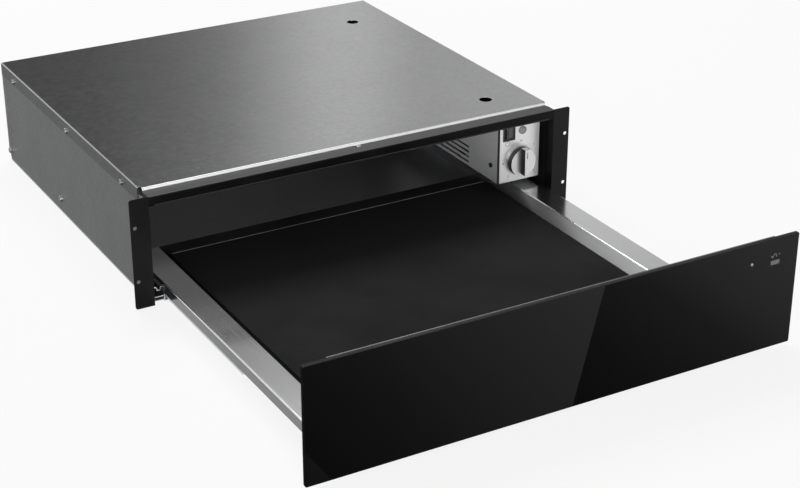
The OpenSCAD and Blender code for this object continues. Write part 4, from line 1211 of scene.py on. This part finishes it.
def make_card(name, corners, greys, rise=None):
    """A glowing card. Its greys are (x, grey) pairs, and rise is two (z, share) pairs."""
    mesh = bpy.data.meshes.new(name)
    mesh.from_pydata([Vector(corner) for corner in corners], [], [tuple(range(len(corners)))])
    card = bpy.data.objects.new(name, mesh)
    bpy.context.scene.collection.objects.link(card)
    card.visible_camera = False
    card.visible_diffuse = False
    card.visible_shadow = False
    card.visible_transmission = False
    material = bpy.data.materials.new(name)
    material.use_nodes = True
    nodes, links = material.node_tree.nodes, material.node_tree.links
    nodes.clear()
    glow = nodes.new("ShaderNodeEmission")
    links.new(glow.outputs["Emission"], nodes.new("ShaderNodeOutputMaterial").inputs["Surface"])
    card.data.materials.append(material)

    split = nodes.new("ShaderNodeSeparateXYZ")
    links.new(nodes.new("ShaderNodeTexCoord").outputs["Object"], split.inputs["Vector"])
    first, last = greys[0][0], greys[-1][0]
    span = nodes.new("ShaderNodeMapRange")
    span.inputs["From Min"].default_value = first
    span.inputs["From Max"].default_value = last
    links.new(split.outputs["X"], span.inputs["Value"])
    ramp = nodes.new("ShaderNodeValToRGB")
    stops = ramp.color_ramp.elements
    while len(stops) < len(greys):
        stops.new(0.5)
    for stop, (x, grey) in zip(stops, greys):
        stop.position = (x - first) / (last - first)
        stop.color = (grey, grey, grey, 1)
    links.new(span.outputs["Result"], ramp.inputs["Fac"])
    links.new(ramp.outputs["Color"], glow.inputs["Color"])
    if rise:
        (low, low_share), (high, high_share) = rise
        climb = nodes.new("ShaderNodeMapRange")
        climb.inputs["From Min"].default_value = low
        climb.inputs["From Max"].default_value = high
        climb.inputs["To Min"].default_value = low_share
        climb.inputs["To Max"].default_value = high_share
        links.new(split.outputs["Z"], climb.inputs["Value"])
        links.new(climb.outputs["Result"], glow.inputs["Strength"])


WALL_Y = 4
CARD_Z = 0.002
FLAG_LEFT = -0.6
FLAG_SPLIT = 0.009
FLAG_SPLIT_FRONT = 0.572
FLAG_RIGHT = 0.9
FLAG_FRONT = -1.3
BESIDE_DRAWER = 0.2665
CARD_SPLIT_X = 0.2755
CARD_SPLIT_SLOPE = 0.567
FLANGE_Y = -0.252
FLANGE_BACK_Y = -0.236
INSIDE_LEFT = -0.27
INSIDE_RIGHT = 0.2
INSIDE_FRONT = -0.226
INSIDE_STEP = -0.02
INSIDE_REAR = 0.24


def make_wall_card(name, left, right, foot, top, greys, rise=None):
    """A card that stands behind the drawer."""
    corners = [(left, WALL_Y, foot), (right, WALL_Y, foot), (right, WALL_Y, top), (left, WALL_Y, top)]
    make_card(name, corners, greys, rise)


def make_level_card(name, left, right, front, rear, z, greys):
    """A card that lies level."""
    make_card(name, [(left, front, z), (right, front, z), (right, rear, z), (left, rear, z)], greys)


def make_backdrop():
    """Cards behind the drawer, for the cover and the glass floor to reflect."""
    make_wall_card("low backdrop card", 0.2, 9, 0.0, 2.6, (
        (0.2, 0.09), (0.83, 0.105), (1.17, 0.13), (1.35, 0.185), (1.5, 0.22), (1.7, 0.32),
        (1.95, 0.60), (2.1, 0.79), (2.3, 0.80), (2.55, 0.58), (3.2, 0.68), (9, 0.5),
    ))
    make_wall_card("left backdrop card", -6, 0.2, 0.0, 4.4, even(1.0), ((0.2, 1.9), (1.4, 0.68)))
    make_wall_card(
        "high backdrop card", 0.2, 3.2, 2.6, 4.4, ((0.2, 0.44), (3.2, 0.5)), ((2.6, 0.12), (3.3, 1.4))
    )
    make_wall_card("high right card", 3.2, 9, 2.6, 4.4, ((3.2, 0.50), (9, 0.52)))


def make_floor_cards():
    """Cards on the floor, for the sides, the front glass, the flange and the control plate to reflect."""
    make_level_card("left floor card", -2.2, -BESIDE_DRAWER, -1.6, 2.0, CARD_Z, even(0.30))
    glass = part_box("front_glass")[0].y

    def flag(name, greys, *corners):
        make_card(name, [(x, y, CARD_Z) for x, y in corners], greys)

    def split_line(y):
        """The line between the flange's card and the control plate's card, at a y."""
        return CARD_SPLIT_X + CARD_SPLIT_SLOPE * (FLANGE_Y - y)

    flag(
        "front left flag",
        ((-0.6, 0.02), (-0.3, 0.035), (-0.15, 0.12), (0.0, 0.26), (0.2, 0.44), (0.6, 0.42)),
        (FLAG_LEFT, glass), (FLAG_SPLIT, glass), (FLAG_SPLIT_FRONT, FLAG_FRONT), (FLAG_LEFT, FLAG_FRONT),
    )
    flag(
        "front right flag",
        ((0.0, 0.05), (0.12, 0.09), (0.25, 0.18), (0.33, 0.32), (0.45, 0.43), (0.9, 0.5)),
        (FLAG_SPLIT, glass), (FLAG_RIGHT, glass), (FLAG_RIGHT, FLAG_FRONT), (FLAG_SPLIT_FRONT, FLAG_FRONT),
    )
    flag(
        "right flange flag", even(0.9),
        (split_line(glass), glass), (FLAG_RIGHT, glass),
        (FLAG_RIGHT, FLANGE_Y), (split_line(FLANGE_Y), FLANGE_Y),
    )
    flag(
        "control plate card", even(1.02),
        (BESIDE_DRAWER, glass), (split_line(glass), glass), (split_line(FLANGE_BACK_Y), FLANGE_BACK_Y),
    )


def make_cavity_cards():
    """Faint cards under the cover and the bar: they stand for the light that the steel throws back."""
    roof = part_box("top_cover")[1].z - 1.5 * MM
    under_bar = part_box("front_seal")[0].z - 0.5 * MM
    width = (INSIDE_LEFT, INSIDE_RIGHT)
    rear_greys = ((INSIDE_LEFT, 0.055), (INSIDE_RIGHT, 0.038))
    make_level_card("inner ceiling card", *width, INSIDE_FRONT, INSIDE_STEP, roof, even(0.115))
    make_level_card("bar card", *width, -0.2525, -0.2255, under_bar, even(0.15))
    make_level_card("rear ceiling card", *width, INSIDE_STEP, INSIDE_REAR, roof, rear_greys)


make_sky()
make_floor()
make_softbox("key softbox", (-1.6, -2.4, 2.6), (0, -0.2, 0.05), (3.0, 2.4), 5)
make_softbox("top softbox", (0.2, 1.4, 2.8), (0, 0, 0), (2.6, 1.6), 64)
make_softbox("low softbox", (-1.2, -3.2, 0.62), (0.1, -0.1, 0.08), (1.8, 0.7), 60)
make_backdrop()
make_floor_cards()
make_cavity_cards()


# Camera: fitted to the photograph

CAMERA_PLACE = (-0.9329, -1.9834, 0.9480)
CAMERA_DOWN = 25.400
CAMERA_RIGHT = 29.607

camera_data = bpy.data.cameras.new("camera")
camera = bpy.data.objects.new("camera", camera_data)
bpy.context.scene.collection.objects.link(camera)
camera.location = CAMERA_PLACE
camera.rotation_euler = (math.radians(90 - CAMERA_DOWN), 0, -math.radians(CAMERA_RIGHT))
camera_data.lens = 80.90
camera_data.sensor_width = 36
camera_data.clip_start = 0.05
camera_data.clip_end = 100
bpy.context.scene.camera = camera
bpy.context.scene.view_settings.view_transform = "Standard"
